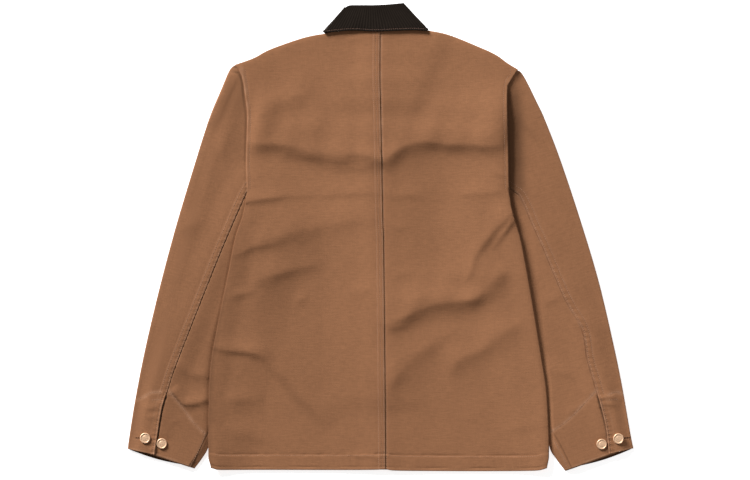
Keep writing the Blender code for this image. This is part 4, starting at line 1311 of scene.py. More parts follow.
def cloth(name, points, wall, material, grain=None, looks=None):
    """A sheet through the points (rows, columns, 3) of its outer face, with its wall inside."""
    rows, columns, _ = points.shape
    deselect()
    bpy.ops.mesh.primitive_grid_add(x_subdivisions=columns - 1, y_subdivisions=rows - 1)
    obj = named(bpy.context.object, name, material)
    mesh = obj.data
    mesh.vertices.foreach_set("co", (points * MM).reshape(-1))
    corners = np.empty(len(mesh.loops), np.int32)
    mesh.loops.foreach_get("vertex_index", corners)
    plan = flat_plan(points if grain is None else grain) * MM
    mesh.uv_layers[0].name = "Grain"
    mesh.uv_layers[0].uv.foreach_set("vector", plan[corners].astype(np.float32).reshape(-1))
    for key, values in (looks or {}).items():
        made = mesh.attributes.new(key, "FLOAT", "POINT")
        made.data.foreach_set("value", values.astype(np.float32))
    mesh.update()
    modifier = obj.modifiers.new("Wall", "SOLIDIFY")
    modifier.thickness = wall * MM
    modifier.offset = -1.0
    finished(obj, modifier)
    bpy.ops.object.shade_smooth()
    return obj


def sew_sheet(obj, node, points):
    """Hangs a finished sheet on the root and hides the solid that it replaces; its cut size is
    worked out but not kept.
    """
    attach(obj, "root")
    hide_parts(node)
    flat, area = cut_size(points)


def stitch_form():
    """Points (along, aside, up) and faces of one stitch of length 1 and radius 1."""
    points = [(-STITCH_TIP.along, 0.0, STITCH_TIP.height)]
    for ring in STITCH_RINGS:
        for turn in np.arange(STITCH_SIDES) * math.tau / STITCH_SIDES:
            aside, up = ring.radius * math.cos(turn), ring.radius * math.sin(turn)
            points.append((ring.along, aside, ring.height + up))
    points.append((STITCH_TIP.along, 0.0, STITCH_TIP.height))
    last = len(points) - 1
    faces = []
    for side in range(STITCH_SIDES):
        other = (side + 1) % STITCH_SIDES
        faces.append((0, 1 + side, 1 + other))
        for ring in range(len(STITCH_RINGS) - 1):
            first = 1 + ring * STITCH_SIDES
            after = first + STITCH_SIDES
            faces.append((first + side, after + side, after + other))
            faces.append((first + side, after + other, first + other))
        first = last - STITCH_SIDES
        faces.append((first + side, last, first + other))
    return np.array(points), np.array(faces)


def stitch_places(line, height_at, pitch):
    """Where the stitches of one row lie: their middles and their directions, in space."""
    count = max(1, int(line.length / pitch))
    middle = (np.arange(count) + 0.5) / count
    reach = STITCH_READ * pitch / line.length
    plans = [line.at(share) for share in (middle - reach, middle + reach)]
    start, end = (np.column_stack([plan, height_at(plan)]) for plan in plans)
    return (start + end) / 2, end - start


def stitching(name, lines, height_at, material, above=THREAD_ABOVE):
    """All the stitches along these lines, joined in one mesh."""
    sewing = bpy.context.scene.jacket_sewing
    radius = sewing.thread / MM / 2
    form, faces = stitch_form()
    places = [stitch_places(line, height_at, sewing.pitch / MM) for line in lines]
    middle, ahead = (np.vstack(column) for column in zip(*places))
    ahead = unit(ahead)
    aside = unit(np.cross((0.0, 0.0, 1.0), ahead))
    up = np.cross(ahead, aside)
    draw = np.random.default_rng(len(middle))
    shift = draw.uniform(*STITCH_ASIDE, len(middle))[:, None]
    length = sewing.stitch / MM * draw.uniform(*STITCH_LENGTH, len(middle))[:, None, None]
    middle = middle + aside * shift + up * above * radius
    points = middle[:, None] + form[None, :, 0, None] * length * ahead[:, None]
    for column, way in ((1, aside), (2, up)):
        points = points + form[None, :, column, None] * radius * way[:, None]
    all_faces = faces[None] + (np.arange(len(middle)) * len(form))[:, None, None]
    return plain_mesh(name, points.reshape(-1, 3), all_faces.reshape(-1, 3), material)


def plain_mesh(name, points, faces, material):
    """A smooth mesh of these points and faces, which rides on the jacket."""
    mesh = bpy.data.meshes.new(name)
    mesh.from_pydata((points * MM).tolist(), [], faces.tolist())
    obj = bpy.data.objects.new(name, mesh)
    bpy.context.scene.collection.objects.link(obj)
    named(obj, name, material)
    activate(obj)
    bpy.ops.object.shade_smooth()
    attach(obj, "root")
    return obj


# ---------------------------------------------------------------- body


def rolled_columns(points, heights, bottom, mask, roll, height_at):
    """Turns the first columns of a sheet over its edge, where the mask is 1.

    The columns count inward from the edge: its foot, then a quarter round up to its top. Where
    the mask is 0 they lie flat.
    """
    flat = np.arange(EDGE_COLUMNS) * EDGE_STEP
    bent = np.append(0.0, roll * (1.0 - np.cos(EDGE_ARC)))
    edge = points[:, 0].copy()
    ahead = unit(points[:, EDGE_COLUMNS] - edge)
    for index in range(EDGE_COLUMNS):
        step = flat[index] * (1.0 - mask) + bent[index] * mask
        points[:, index] = edge + ahead * step[:, None]
        heights[:, index] = height_at(points[:, index])
    top = heights[:, EDGE_COLUMNS - 1].copy()
    turned_to = [bottom] + [top - roll * (1.0 - math.sin(angle)) for angle in EDGE_ARC]
    for index, height in enumerate(turned_to):
        heights[:, index] += mask * (np.minimum(height, top) - heights[:, index])


def back_points(side):
    """The outer face of one half of the back."""
    tip = Line([EDGE[side].points[-1], SHOULDER[side].points[0]])
    outer = joined(edge_run(side, HEM_Y, SIDE_TOP), tip)
    high = joined(SHOULDER[side], NECK[side])
    low = HEM[side]
    middle = CENTRE
    if side == "right":
        middle = CENTRE.shifted(LAP)
        low = joined(Line([middle.points[0], low.points[0]]), low).reversed()
        high = joined(high, Line([high.points[-1], middle.points[-1]]))
    edge = np.linspace(0.0, EDGE_SHARE, EDGE_COLUMNS)
    inside = shares(low.length, 0.0, CENTRE_FINE)
    columns = np.concatenate([edge, EDGE_NEXT + (1.0 - EDGE_NEXT) * inside])
    inside = shares(middle.length, END_FINE, 0.0)
    rows = np.concatenate([(1.0 - EDGE_SHARE) * inside, 1.0 - edge[::-1] / SHOULDER_SHRINK])
    plan = patch(low, high, outer, middle, columns, rows)
    height_at = partial(back_top, side=side)
    heights = height_at(plan.reshape(-1, 2)).reshape(plan.shape[:2])
    mask = smooth(*SIDE_ROLL_RAMP, UNDERARM_Y - plan[:, 0, 1])
    bottom = front_under(plan[:, 0], side) + HEM_CLEAR
    rolled_columns(plan, heights, bottom, mask, EDGE_ROLL[side], height_at)
    # The same along the shoulder, with the rows taken as columns.
    plan = np.swapaxes(plan, 0, 1)[:, ::-1].copy()
    heights = heights.T[:, ::-1].copy()
    end = SHOULDER[side].length / high.length
    mask = fade(end - SHOULDER_ROLL_END, end, columns)
    bottom = front_under(plan[:, 0], side) + HEM_CLEAR
    rolled_columns(plan, heights, bottom, mask, EDGE_ROLL[side], height_at)
    points = np.dstack([np.swapaxes(plan[:, ::-1], 0, 1), heights[:, ::-1].T])
    return points[:, ::-1] if side == "right" else points


def front_points(side):
    """The outer face of a front, which is its underside here."""
    inward = INWARD[side]
    lower = edge_run(side, HEM_Y, UNDERARM_Y - UNDERARM_TURN, FRONT_INSET)
    upper = edge_run(side, UNDERARM_Y - UNDERARM_DIP, SIDE_TOP, ARMHOLE_INSET + 2.0 * SEAM_GAP)
    shoulder = Line(SHOULDER[side].shifted(-inward * FRONT_INSET).points[FRONT_SHOULDER])
    neck = FRONT_NECK[side]
    outer = joined(lower, Line([lower.points[-1], upper.points[0]]), upper)
    outer = Line(np.vstack([outer.points, shoulder.points[:1]]))
    high = joined(shoulder, Line([shoulder.points[-1], neck.points[0]]), neck)
    strip_x = -inward * RAIL_FOOT
    hem = Line([lower.points[0], (-inward * HEM_TURN_X, HEM_TURN_Y), (strip_x, HEM_LOW)])
    middle = Line([(strip_x, HEM_LOW), (strip_x, NECK_DEPTH)])
    columns = shares(hem.length, step=FRONT_GRID)
    rows = shares(middle.length, END_FINE, 0.0, step=FRONT_GRID)
    plan = patch(hem, high, outer, middle, columns, rows)
    width = RAIL_FOOT + OVERLAP
    for x in strip_x + inward * shares(width, step=RAIL_GRID)[1:] * width:
        strip = np.column_stack([np.full(len(rows), x), plan[:, -1, 1]])
        plan = np.concatenate([plan, strip[:, None]], axis=1)
    flat = plan.reshape(-1, 2)
    to_edge = np.abs(inward * OVERLAP - flat[:, 0])
    height = front_under(flat, side)
    height -= sunk(to_edge, FRONT_ROWS) + sunk(flat[:, 1] - HEM_LOW, (HEM_ROW,))
    points = np.dstack([plan, height.reshape(plan.shape[:2])])
    return points[:, ::-1] if side == "left" else points


# ---------------------------------------------------------------- sleeves


def fold_over(upper, lower, fold, height_at):
    """Joins an upper and a lower sheet, given from the fold inward, by a round bend.

    Returns the points from the upper sheet's far side, round the fold, to the lower one's.
    """
    ahead = unit(upper[:, 0] - fold)
    radius = (height_at(fold + FOLD_START * ahead) / 2.0)[:, None]
    bend = []
    for angle in FOLD_ARC:
        plan = fold + ahead * radius * (1.0 - math.sin(angle))
        bend.append(np.hstack([plan, radius * (1.0 + math.cos(angle))]))
    up = np.dstack([upper, height_at(upper.reshape(-1, 2)).reshape(upper.shape[:2])])
    low = np.dstack([lower, np.zeros(lower.shape[:2])])
    return np.concatenate([up[:, ::-1], np.stack(bend, axis=1), low], axis=1)


def cuff_mouth(start, end):
    """The lower layer's edge at the cuff, which bows out below the upper one."""
    share = np.linspace(0.0, 1.0, len(FOLD_ARC))[:, None]
    bow = np.hstack([0.0 * share, -CUFF_MOUTH * np.sin(np.pi * share)])
    return Line(start + (end - start) * share + bow)


def front_seam(side):
    """The sleeve's second seam, on its underside, nearer the elbow line toward the cap."""
    share = np.linspace(0.0, 1.0, SEAM_POINTS)
    blend = toward(FRONT_SEAM_LOW, FRONT_SEAM_HIGH, share**2)[:, None]
    return Line(toward(INNER[side].at(share), ELBOW[side].at(share), blend))


def crossing(first, last, share):
    """The straight line from one line to another, at the same share of both."""
    return Line([first.at(share), last.at(share)])


def sleeve_points(side, layer):
    """The outer face of a sleeve panel, from the elbow seam round its fold to the front seam."""
    inward = INWARD[side]
    if layer == "outer":
        fold, upper_seam = OUTER[side], ELBOW[side]
        seam = front_seam(side)
        lower_seam = seam.shifted(inward * SEAM_GAP / 2)
        rows = shares(fold.length, CUFF_FINE, END_FINE, SLEEVE_GRID)
        top = fold.at(1.0)
        cap = edge_run(side, top[1], upper_seam.at(1.0)[1], ARMHOLE_INSET).points
        reach = edge_run(side, top[1], seam.at(1.0)[1], ARMHOLE_INSET).points
        upper_ends = (crossing(fold, upper_seam, 0.0), Line(np.vstack([top, cap[1:]])))
        reach = Line(np.vstack([top, reach[1:-1], seam.at(1.0)]))
        lower_ends = (cuff_mouth(fold.at(0.0), seam.at(0.0)), reach)
    else:
        fold, upper_seam = INNER[side], ELBOW[side].shifted(inward * LAP)
        lower_seam = front_seam(side).shifted(-inward * SEAM_GAP / 2)
        rows = shares(fold.length, step=INNER_GRID)
        upper_ends = [crossing(fold, upper_seam, share) for share in (0.0, 1.0)]
        lower_ends = [crossing(fold, lower_seam, share) for share in (0.0, 1.0)]
    columns = {
        sheet: np.linspace(start, 1.0, count)
        for sheet, (start, count) in SLEEVE_COLUMNS[layer].items()
    }
    upper = patch(*upper_ends, fold, upper_seam, columns["upper"], rows)
    lower = patch(*lower_ends, fold, lower_seam, columns["lower"], rows)
    height_at = partial(sleeve_top, side=side, layer=layer)
    points = fold_over(upper, lower, fold.at(rows), height_at)
    return points[:, ::-1] if (side == "left") == (layer == "outer") else points


def along_sleeve(points, side):
    """The grain of a sleeve: its points turned so that the warp runs down the sleeve."""
    ahead = unit(OUTER[side].at(0.0) - OUTER[side].at(GRAIN_TURN))
    plan = points[..., :2]
    return np.stack([plan @ (-ahead[1], ahead[0]), plan @ ahead], axis=-1)


# ---------------------------------------------------------------- collar


def collar_lane(corners, left, back, right):
    """One line round the collar in plan, from the left leaf's end to the right leaf's end."""
    back_columns = np.linspace(0.0, 1.0, FALL_COLUMNS)
    leaf_columns = np.linspace(0.0, 1.0, LEAF_COLUMNS)
    left_leaf = curve([corners[0], *left]).at(leaf_columns)[::-1]
    middle = curve([corners[0], *back, corners[1]]).at(back_columns)
    right_leaf = curve([corners[1], *right]).at(leaf_columns)
    turn = np.ones((len(BAND_ARC), 1))
    return np.vstack([left_leaf, turn * corners[0], middle, turn * corners[1], right_leaf])


def collar_points():
    """One band: front leaf, side, back, side, front leaf, folded over along its top."""
    hem_corners, fold_corners, outward = [], [], []
    for side, slant in (("left", SLANT_LEFT), ("right", SLANT_RIGHT)):
        low, high = np.array(slant, float)
        ahead = unit(high - low)
        out = np.array([-ahead[1], ahead[0]]) * INWARD[side]
        outward.append(out)
        hem_corners.append(low - out * COLLAR_MIDDLE)
        fold_corners.append(high - out * COLLAR_MIDDLE * (1.0 - CORNER_PRESS) - ahead * COLLAR_FOLD)
    stand_corners = np.array([STAND_CORNER_LEFT, STAND_CORNER_RIGHT], float)
    hem = collar_lane(hem_corners, LEAF_HEM_LEFT, FALL_HEM, LEAF_HEM_RIGHT)
    fold = collar_lane(fold_corners, LEAF_FOLD_LEFT, FALL_FOLD, LEAF_FOLD_RIGHT)
    stand = collar_lane(stand_corners, STAND_LEFT, STAND_BACK, STAND_RIGHT)
    leaf = np.full(LEAF_COLUMNS, math.pi)
    angle = np.concatenate([leaf, BAND_ARC[::-1], np.zeros(FALL_COLUMNS), BAND_ARC, leaf])
    out = np.repeat(outward, len(angle) // 2, axis=0)
    centre = COLLAR_MIDDLE - COLLAR_FOLD
    rows = [(hem, share, 0.0, COLLAR_MIDDLE) for share in np.linspace(0.0, 1.0, FALL_ROWS)]
    for bend in BAND_ARC:
        reach = COLLAR_FOLD * math.sin(bend)
        rows.append((hem, 1.0, reach, centre + COLLAR_FOLD * math.cos(bend)))
    stand_rows = np.linspace(1.0, 0.0, STAND_ROWS)
    rows += [(stand, share, 0.0, centre - COLLAR_FOLD) for share in stand_rows]
    points = []
    for low, share, reach, half in rows:
        plan = low * (1.0 - share) + fold * share + unit(fold - low) * reach
        pressed = 1.0 - CORNER_PRESS * share
        plan = plan + out * (pressed * half * np.sin(angle))[:, None]
        height = COLLAR_MIDDLE + half * np.cos(angle)
        if low is hem:
            height = height + FALL_RISE * (1.0 - share) * np.clip(np.cos(angle), 0.0, 1.0)
        points.append(np.column_stack([plan, height]))
    return np.array(points)


def facing_up(points):
    """The unit normal of each point of a sheet, on its outer face."""
    return unit(np.cross(np.gradient(points, axis=1), np.gradient(points, axis=0)))


def band_grain(points):
    """Lengths along the collar's band and up it, for its ribs."""
    along = np.append(0.0, np.cumsum(steps_along(points[FALL_ROWS], 0)))
    middle = len(along) // 2
    up = np.append(0.0, np.cumsum(steps_along(points[:, middle], 0)))
    return np.stack(np.broadcast_arrays(along - along[middle], up[:, None]), axis=-1)


def ribbed(points, grain):
    """Raises the corduroy's ribs and sinks its row of stitches, where the band faces upward."""
    sizes = bpy.context.scene.jacket_cloth
    normal = facing_up(points)
    phase = grain[..., 0] * math.tau / (sizes.wale_pitch / MM)
    height = sizes.wale_height / MM * np.sqrt(0.5 + 0.5 * np.cos(phase))
    height += uneven(flat_plan(grain), "collar").reshape(height.shape)
    height += COLLAR_SINK * sunk(grain[..., 1], (COLLAR_ROW,)) + band(grain[..., 1], "collar bead")
    return points + normal * (height * smooth(*RIB_FADE, normal[..., 2]))[..., None]


# ---------------------------------------------------------------- materials

class Socket:
    """A value of a shader that Python's operators work on."""

    def __init__(self, shader, source):
        self.shader = shader
        self.source = source

    def math(self, operation, *values):
        """The result of a Math node."""
        settings = {"operation": operation}
        return self.shader.node("ShaderNodeMath", settings, dict(enumerate(values)))["Value"]

    def __add__(self, other):
        return self.math("ADD", self, other)

    def __sub__(self, other):
        return self.math("SUBTRACT", self, other)

    def __rsub__(self, other):
        return self.math("SUBTRACT", other, self)

    def __mul__(self, other):
        return self.math("MULTIPLY", self, other)

    __radd__ = __add__
    __rmul__ = __mul__

    def sine(self):
        return self.math("SINE", self)

    def clamped(self):
        """The value, held between 0 and 1."""
        return self.math("MINIMUM", self.math("MAXIMUM", self, 0.0), 1.0)


class Shader:
    """A material's nodes, made one call at a time."""

    def __init__(self, name):
        self.material = bpy.data.materials.new(name)
        self.material.use_nodes = True
        self.tree = self.material.node_tree
        self.surface = self.tree.nodes["Principled BSDF"]

    def node(self, kind, settings, values):
        """Adds a node, sets it and its sockets, and returns its outputs by name."""
        made = self.tree.nodes.new(kind)
        for key, value in settings.items():
            setattr(made, key, value)
        for key, value in values.items():
            self.feed(made.inputs[key], value)
        return {output.name: Socket(self, output) for output in made.outputs if output.enabled}

    def feed(self, socket, value):
        """Links a value to a socket, or sets the socket to a number or a colour."""
        if isinstance(value, Socket):
            self.tree.links.new(value.source, socket)
        else:
            socket.default_value = value

    def set(self, **values):
        """Sets the surface's own sockets, by their names."""
        for key, value in values.items():
            self.feed(self.surface.inputs[key.replace("_", " ")], value)

    def grain(self):
        """The two directions of the weave, in metres."""
        along = self.node("ShaderNodeUVMap", {"uv_map": "Grain"}, {})["UV"]
        parts = self.node("ShaderNodeSeparateXYZ", {}, {"Vector": along})
        return along, parts["X"], parts["Y"]

    def place(self):
        """The place on the jacket, in metres."""
        return self.node("ShaderNodeTexCoord", {}, {})["Object"]

    def noise(self, vector, name):
        """A named noise, from 0 to 1, stretched along the vector's axes."""
        form = NOISES[name]
        values = {"Vector": vector, "Scale": form.stretch}
        turned = self.node("ShaderNodeMapping", {"vector_type": "POINT"}, values)["Vector"]
        values = {"Vector": turned, "Scale": form.scale, "Detail": form.detail}
        return self.node("ShaderNodeTexNoise", {"noise_dimensions": "3D"}, values)["Fac"]

    def attribute(self, name):
        """A value that the mesh keeps at each of its points."""
        return self.node("ShaderNodeAttribute", {"attribute_name": name}, {})["Fac"]

    def mixed(self, share, first, second):
        """A colour between two others."""
        settings = {"data_type": "RGBA", "clamp_factor": True}
        values = {0: share, MIX_FIRST: colour_of(first), MIX_SECOND: colour_of(second)}
        return self.node("ShaderNodeMix", settings, values)["Result"]

    def raised(self, height, finish):
        """The surface with the finish's bumps on it."""
        values = {"Height": height, "Distance": BUMPS[finish], "Strength": 1.0}
        return self.node("ShaderNodeBump", {}, values)["Normal"]

    def rough(self, noise, finish):
        """A roughness that the noise changes a little."""
        mean, share = ROUGHNESS[finish]
        return ((noise - MIDDLE) * share + mean).clamped()

    def toned(self, share, colour, finish):
        """The colour between its darkest and its lightest tone."""
        tones = (tuple(min(1.0, tone * part) for part in colour) for tone in TONES[finish])
        return self.mixed(share, *tones)


def colour_of(value):
    """A colour as a Mix node takes it."""
    return value if isinstance(value, Socket) else (*value[:3], 1.0)


def centred(noises):
    """The noises, each of them from below 0 to above it."""
    return {name: noise - MIDDLE for name, noise in noises.items()}


def weighed(noises, shares):
    """The noises times their shares, added up."""
    first, *others = [noises[name] * share for name, share in shares.items()]
    return sum(others, first)


def canvas_material():
    """Washed duck canvas: a plain weave of thick and thin threads, rubbed lighter at its edges,
    with painted shade and light from the mesh's shade and gap values.
    """
    colours = bpy.context.scene.jacket_colours
    pitch = bpy.context.scene.jacket_cloth.weave_pitch
    shader = Shader("canvas_cloth")
    grain, across, along = shader.grain()
    place = shader.place()
    warp = (across * (math.pi / pitch)).sine()
    weft = (along * (math.pi / pitch)).sine()
    noises = {name: shader.noise(grain, name) for name in ("weft slub", "warp slub")}
    noises.update({name: shader.noise(place, name) for name in ("mottle", "fleck", "cloud")})
    # The noises give the canvas's own uneven tone; the shade value taken from it is painted shade,
    # and painted light where it is below 0.
    shade = weighed(centred(noises), CANVAS_TONE) - shader.attribute("shade")
    base = shader.toned((shade + 0.5).clamped(), colours.canvas, "canvas")
    rub = shader.attribute("wear") * (WORN_EVEN + noises["fleck"] * WORN_FLECK)
    rubbed = shader.mixed(rub.clamped(), base, colours.canvas_worn)
    # Gaps are drawn near black with painted shade.
    gap_shade_colour = tuple(GAP_SHADE_TONE * part for part in colours.canvas)
    weave = (warp * weft * 0.5 + 0.5) * WEAVE_RELIEF
    shader.set(
        Base_Color=shader.mixed(shader.attribute("gap"), rubbed, gap_shade_colour),
        Roughness=shader.rough(noises["mottle"], "canvas"),
        Normal=shader.raised(weave + weighed(noises, CANVAS_RELIEF), "canvas"),
        Sheen_Weight=0.03,
        Sheen_Roughness=0.5,
        Specular_IOR_Level=0.1,
    )
    return shader.material


def corduroy_material():
    """Corduroy: brushed ribs with darker grooves, partly their own colour and partly painted shade.
    """
    colours = bpy.context.scene.jacket_colours
    pitch = bpy.context.scene.jacket_cloth.wale_pitch
    shader = Shader("collar_cloth")
    grain, across, _ = shader.grain()
    rib = (across * (math.tau / pitch) + math.pi / 2).sine() * 0.5 + 0.5
    noises = {"nap": shader.noise(grain, "nap"), "dust": shader.noise(shader.place(), "dust")}
    share = rib * RIB_TONE + weighed(centred(noises), CORDUROY_TONE) + CORDUROY_LIGHT
    shader.set(
        Base_Color=shader.toned(share.clamped(), colours.corduroy, "corduroy"),
        Roughness=0.9,
        Normal=shader.raised(noises["nap"], "corduroy"),
        Sheen_Weight=0.10,
        Sheen_Roughness=0.4,
        Sheen_Tint=(0.30, 0.21, 0.16, 1.0),
        Specular_IOR_Level=0.04,
    )
    return shader.material


def thread_material(name, colour):
    """Twisted thread, a little uneven in colour."""
    shader = Shader(name)
    twist = shader.noise(shader.place(), "twist")
    shader.set(
        Base_Color=shader.toned(twist, colour, "thread"),
        Roughness=0.6,
        Normal=shader.raised(twist, "thread"),
        Sheen_Weight=0.1,
    )
    return shader.material


def brass_material():
    """Dull brass, unevenly darker with patina, with fine scratches."""
    shader = Shader("button_metal")
    place = shader.place()
    noises = {name: shader.noise(place, name) for name in BRASS_TONE}
    share = (weighed(centred(noises), BRASS_TONE) + BRASS_LIGHT).clamped()
    shader.set(
        Base_Color=shader.toned(share, bpy.context.scene.jacket_colours.brass, "brass"),
        Metallic=0.5,
        Roughness=shader.rough(noises["patina"], "brass"),
        Normal=shader.raised(noises["patina"] + noises["scratch"] * SCRATCH_RELIEF, "brass"),
    )
    return shader.material


def floor_material():
    """A pale sheet, lit a little from below."""
    shader = Shader("floor")
    shader.set(
        Base_Color=colour_of(FLOOR_COLOUR),
        Roughness=0.9,
        Emission_Color=colour_of(FLOOR_COLOUR),
        Emission_Strength=FLOOR_GLOW,
    )
    return shader.material


def material(name):
    """The finish of that name, made when it is first asked for."""
    colours = bpy.context.scene.jacket_colours
    makers = {
        "canvas_cloth": canvas_material,
        "collar_cloth": corduroy_material,
        "button_metal": brass_material,
        "thread": partial(thread_material, "thread", colours.thread),
        "collar_thread": partial(thread_material, "collar_thread", colours.collar_thread),
    }
    return bpy.data.materials.get(name) or makers[name]()


# ---------------------------------------------------------------- operators


class JACKET_OT_back(bpy.types.Operator):
    """Makes both halves of the back with their creases, hem and centre seam"""

    bl_idname = "jacket.back"
    bl_label = "Back"

    def execute(self, context):
        for side in SIDES:
            points = back_points(side)
            # Wear is rubbed cloth, with a painted highlight on the left armhole; shade and gap are
            # painted shade.
            looks = {
                "wear": body_wear(points, side),
                "shade": shading(flat_plan(points), BACK_SHADES, BACK_SHADE_LINES),
                "gap": painted_side_shade(points, side),
            }
            obj = cloth(f"cloth_back_{side}", points, WALL, material("canvas_cloth"), None, looks)
            lines = [ARMHOLE[side].shifted(-INWARD[side] * ARMHOLE_ROW), HEM[side].shifted(HEM_ROW)]
            rows = CENTRE_ROWS if side == "left" else (CENTRE_FAR_ROW,)
            lines += [CENTRE.shifted(row) for row in rows]
            height_at = partial(back_top, side=side)
            thread = stitching(f"stitches_back_{side}", lines, height_at, material("thread"))
            sew_sheet(obj, f"back_{side}", points)
        return {"FINISHED"}


class JACKET_OT_fronts(bpy.types.Operator):
    """Makes both fronts, which lie underneath"""

    bl_idname = "jacket.fronts"
    bl_label = "Fronts"

    def execute(self, context):
        for side in SIDES:
            points = front_points(side)
            obj = cloth(f"cloth_front_{side}", points, WALL, material("canvas_cloth"))
            sew_sheet(obj, f"front_{side}", points)
        return {"FINISHED"}


class JACKET_OT_sleeves(bpy.types.Operator):
    """Makes the two panels of each sleeve, with the vent and the cuff's facing"""

    bl_idname = "jacket.sleeves"
    bl_label = "Sleeves"

    def execute(self, context):
        for side in SIDES:
            for layer in LAYERS:
                self.panel(side, layer)
        return {"FINISHED"}

    def panel(self, side, layer):
        """One panel of a sleeve, with its rows of stitches."""
        name = f"sleeve_{side}_{layer}"
        points = sleeve_points(side, layer)
        grain = along_sleeve(points, side)
        # Wear is rubbed cloth; shade is painted shade, and painted light below 0; gap is painted
        # shade and shadow.
        looks = {
            "wear": sleeve_wear(points, side, layer),
            "shade": shading(flat_plan(points), SLEEVE_SHADES, SLEEVE_SHADE_LINES),
            "gap": painted_gap_shade(points, side, layer),
        }
        obj = cloth(f"cloth_{name}", points, WALL, material("canvas_cloth"), grain, looks)
        lines = [curve(row) for row in CUFF_ROWS[side][layer]]
        if layer == "outer":
            rows = [(row, VENT_TOP_Y, SIDE_TOP) for row in ELBOW_ROWS]
            rows.append((VENT_ROW, HEM_LOW, VENT_TOP_Y))
            for row, low, high in rows:
                lines.append(ELBOW[side].shifted(INWARD[side] * row).between(low, high))
            hole = Line(BUTTONHOLE[side])
            lines += [hole.shifted(BUTTONHOLE_ROW), hole.shifted(-BUTTONHOLE_ROW)]
        height_at = partial(sleeve_top, side=side, layer=layer)
        thread = stitching(f"stitches_{name}", lines, height_at, material("thread"))
        sew_sheet(obj, name, points)


class JACKET_OT_collar(bpy.types.Operator):
    """Makes the corduroy collar, its ribs and its row of stitches"""

    bl_idname = "jacket.collar"
    bl_label = "Collar"

    def execute(self, context):
        flat = collar_points()
        grain = band_grain(flat)
        points = ribbed(flat, grain)
        obj = cloth("cloth_collar", points, COLLAR_WALL, material("collar_cloth"), grain)
        row = np.argmin(np.abs(grain[:, 0, 1] - COLLAR_ROW))
        first = LEAF_COLUMNS + len(BAND_ARC) + 1
        lane = points[row, first:-first]

        def height_at(plan):
            return np.interp(plan[:, 0], lane[:, 0], lane[:, 2])

        lines = [Line(lane[:, :2])]
        finish = material("collar_thread")
        thread = stitching("stitches_collar", lines, height_at, finish, COLLAR_THREAD_ABOVE)
        sew_sheet(obj, "collar", points)
        return {"FINISHED"}


class JACKET_OT_buttons(bpy.types.Operator):
    """Makes the metal buttons of the cuffs and the front"""

    bl_idname = "jacket.buttons"
    bl_label = "Buttons"

    def execute(self, context):
        for name in CUFF_BUTTONS + FRONT_BUTTONS:
            self.button(name)
        return {"FINISHED"}

    def button(self, name):
        """One button, turned on the place of its solid."""
        low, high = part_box(name)
        centre = (low + high) / 2
        radius = (high.x - low.x) / 2
        height = high.z - low.z
        depth = BUTTON_DISC * height
        deselect()
        bpy.ops.mesh.primitive_cylinder_add(
            vertices=BUTTON_SIDES,
            radius=radius,
            depth=depth,
            location=(centre.x, centre.y, low.z + depth / 2),
        )
        obj = named(bpy.context.object, f"metal_{name}", material("button_metal"))
        bpy.ops.object.transform_apply(location=True, rotation=True, scale=True)
        bpy.ops.object.mode_set(mode="EDIT")
        bpy.ops.mesh.select_all(action="DESELECT")
        bpy.ops.object.mode_set(mode="OBJECT")
        for face in obj.data.polygons:
            face.select = face.normal.z > FACES_UP
        bpy.ops.object.mode_set(mode="EDIT")
        bpy.ops.mesh.select_mode(type="FACE")
        for step in BUTTON_STEPS:
            bpy.ops.mesh.inset(thickness=step.inset * radius)
            if step.lift:
                bpy.ops.transform.translate(value=(0.0, 0.0, step.lift * height))
        bpy.ops.object.mode_set(mode="OBJECT")
        bevel = obj.modifiers.new("Edges", "BEVEL")
        bevel.width = BUTTON_BEVEL * radius
        bevel.segments = 2
        bevel.limit_method = "ANGLE"
        bevel.angle_limit = BEVEL_ANGLE
        finished(obj, bevel)
        bpy.ops.object.shade_smooth_by_angle(angle=SMOOTH_ANGLE)
        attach(obj, "root")
        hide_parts(name)


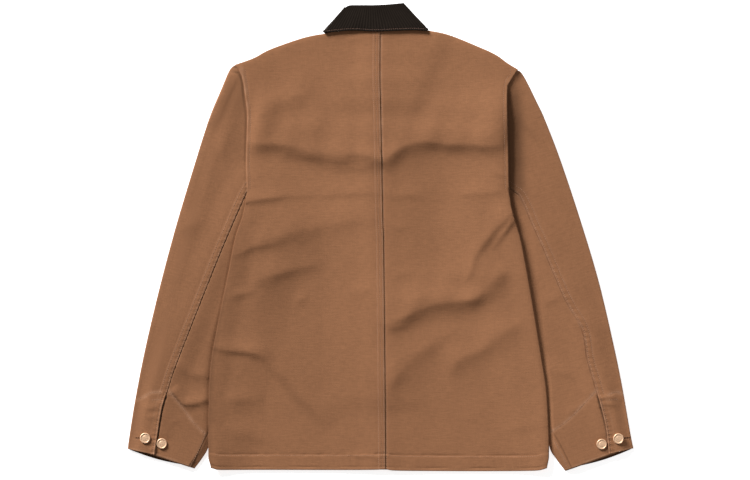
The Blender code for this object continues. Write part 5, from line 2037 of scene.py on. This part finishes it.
class JACKET_OT_stage(bpy.types.Operator):
    """Makes the floor, the lights and the camera"""

    bl_idname = "jacket.stage"
    bl_label = "Stage"

    def execute(self, context):
        deselect()
        bpy.ops.mesh.primitive_plane_add(size=FLOOR_SIZE, location=(0.0, 0.0, FLOOR_DROP))
        floor = named(bpy.context.object, "floor", floor_material())
        for light in LIGHTS:
            self.area(light)
        world = bpy.data.worlds.new("studio")
        context.scene.world = world
        world.use_nodes = True
        sky = world.node_tree.nodes["Background"]
        sky.inputs["Color"].default_value = (*SKY_COLOUR, 1.0)
        sky.inputs["Strength"].default_value = SKY_STRENGTH
        context.scene.view_settings.view_transform = "Standard"
        bpy.ops.object.camera_add(location=CAMERA)
        camera = context.object
        camera.name = "camera"
        camera.data.sensor_width = SENSOR
        camera.data.lens = SENSOR * CAMERA[2] / VIEW_WIDTH
        camera.data.clip_end = CLIP_END
        context.scene.camera = camera
        return {"FINISHED"}

    def area(self, light):
        """One soft light, turned toward the jacket."""
        bpy.ops.object.light_add(type="AREA", location=light.place)
        obj = bpy.context.object
        obj.name = light.name
        obj.data.size = light.size
        obj.data.energy = light.power
        obj.rotation_euler = (-obj.location).to_track_quat("-Z", "Y").to_euler()


STEPS = (
    JACKET_OT_back,
    JACKET_OT_fronts,
    JACKET_OT_sleeves,
    JACKET_OT_collar,
    JACKET_OT_buttons,
    JACKET_OT_stage,
)
GROUPS = {
    "jacket_cloth": JacketCloth,
    "jacket_sewing": JacketSewing,
    "jacket_colours": JacketColours,
}


class JACKET_PT_sidebar(bpy.types.Panel):
    """Sizes and colours of the jacket, and the steps that make it"""

    bl_label = "Chore Jacket"
    bl_space_type = "VIEW_3D"
    bl_region_type = "UI"
    bl_category = "Jacket"

    def draw(self, context):
        for group in GROUPS:
            settings = getattr(context.scene, group)
            for name in settings.__annotations__:
                self.layout.prop(settings, name)
        for step in STEPS:
            self.layout.operator(step.bl_idname)


def register():
    for name, group in GROUPS.items():
        bpy.utils.register_class(group)
        setattr(bpy.types.Scene, name, bpy.props.PointerProperty(type=group))
    for step in STEPS:
        bpy.utils.register_class(step)
    bpy.utils.register_class(JACKET_PT_sidebar)


def unregister():
    bpy.utils.unregister_class(JACKET_PT_sidebar)
    for step in reversed(STEPS):
        bpy.utils.unregister_class(step)
    for name, group in GROUPS.items():
        delattr(bpy.types.Scene, name)
        bpy.utils.unregister_class(group)


def main():
    register()
    bpy.ops.jacket.stage()
    bpy.ops.jacket.back()
    bpy.ops.jacket.fronts()
    bpy.ops.jacket.sleeves()
    bpy.ops.jacket.collar()
    bpy.ops.jacket.buttons()


if __name__ == "__main__":
    main()
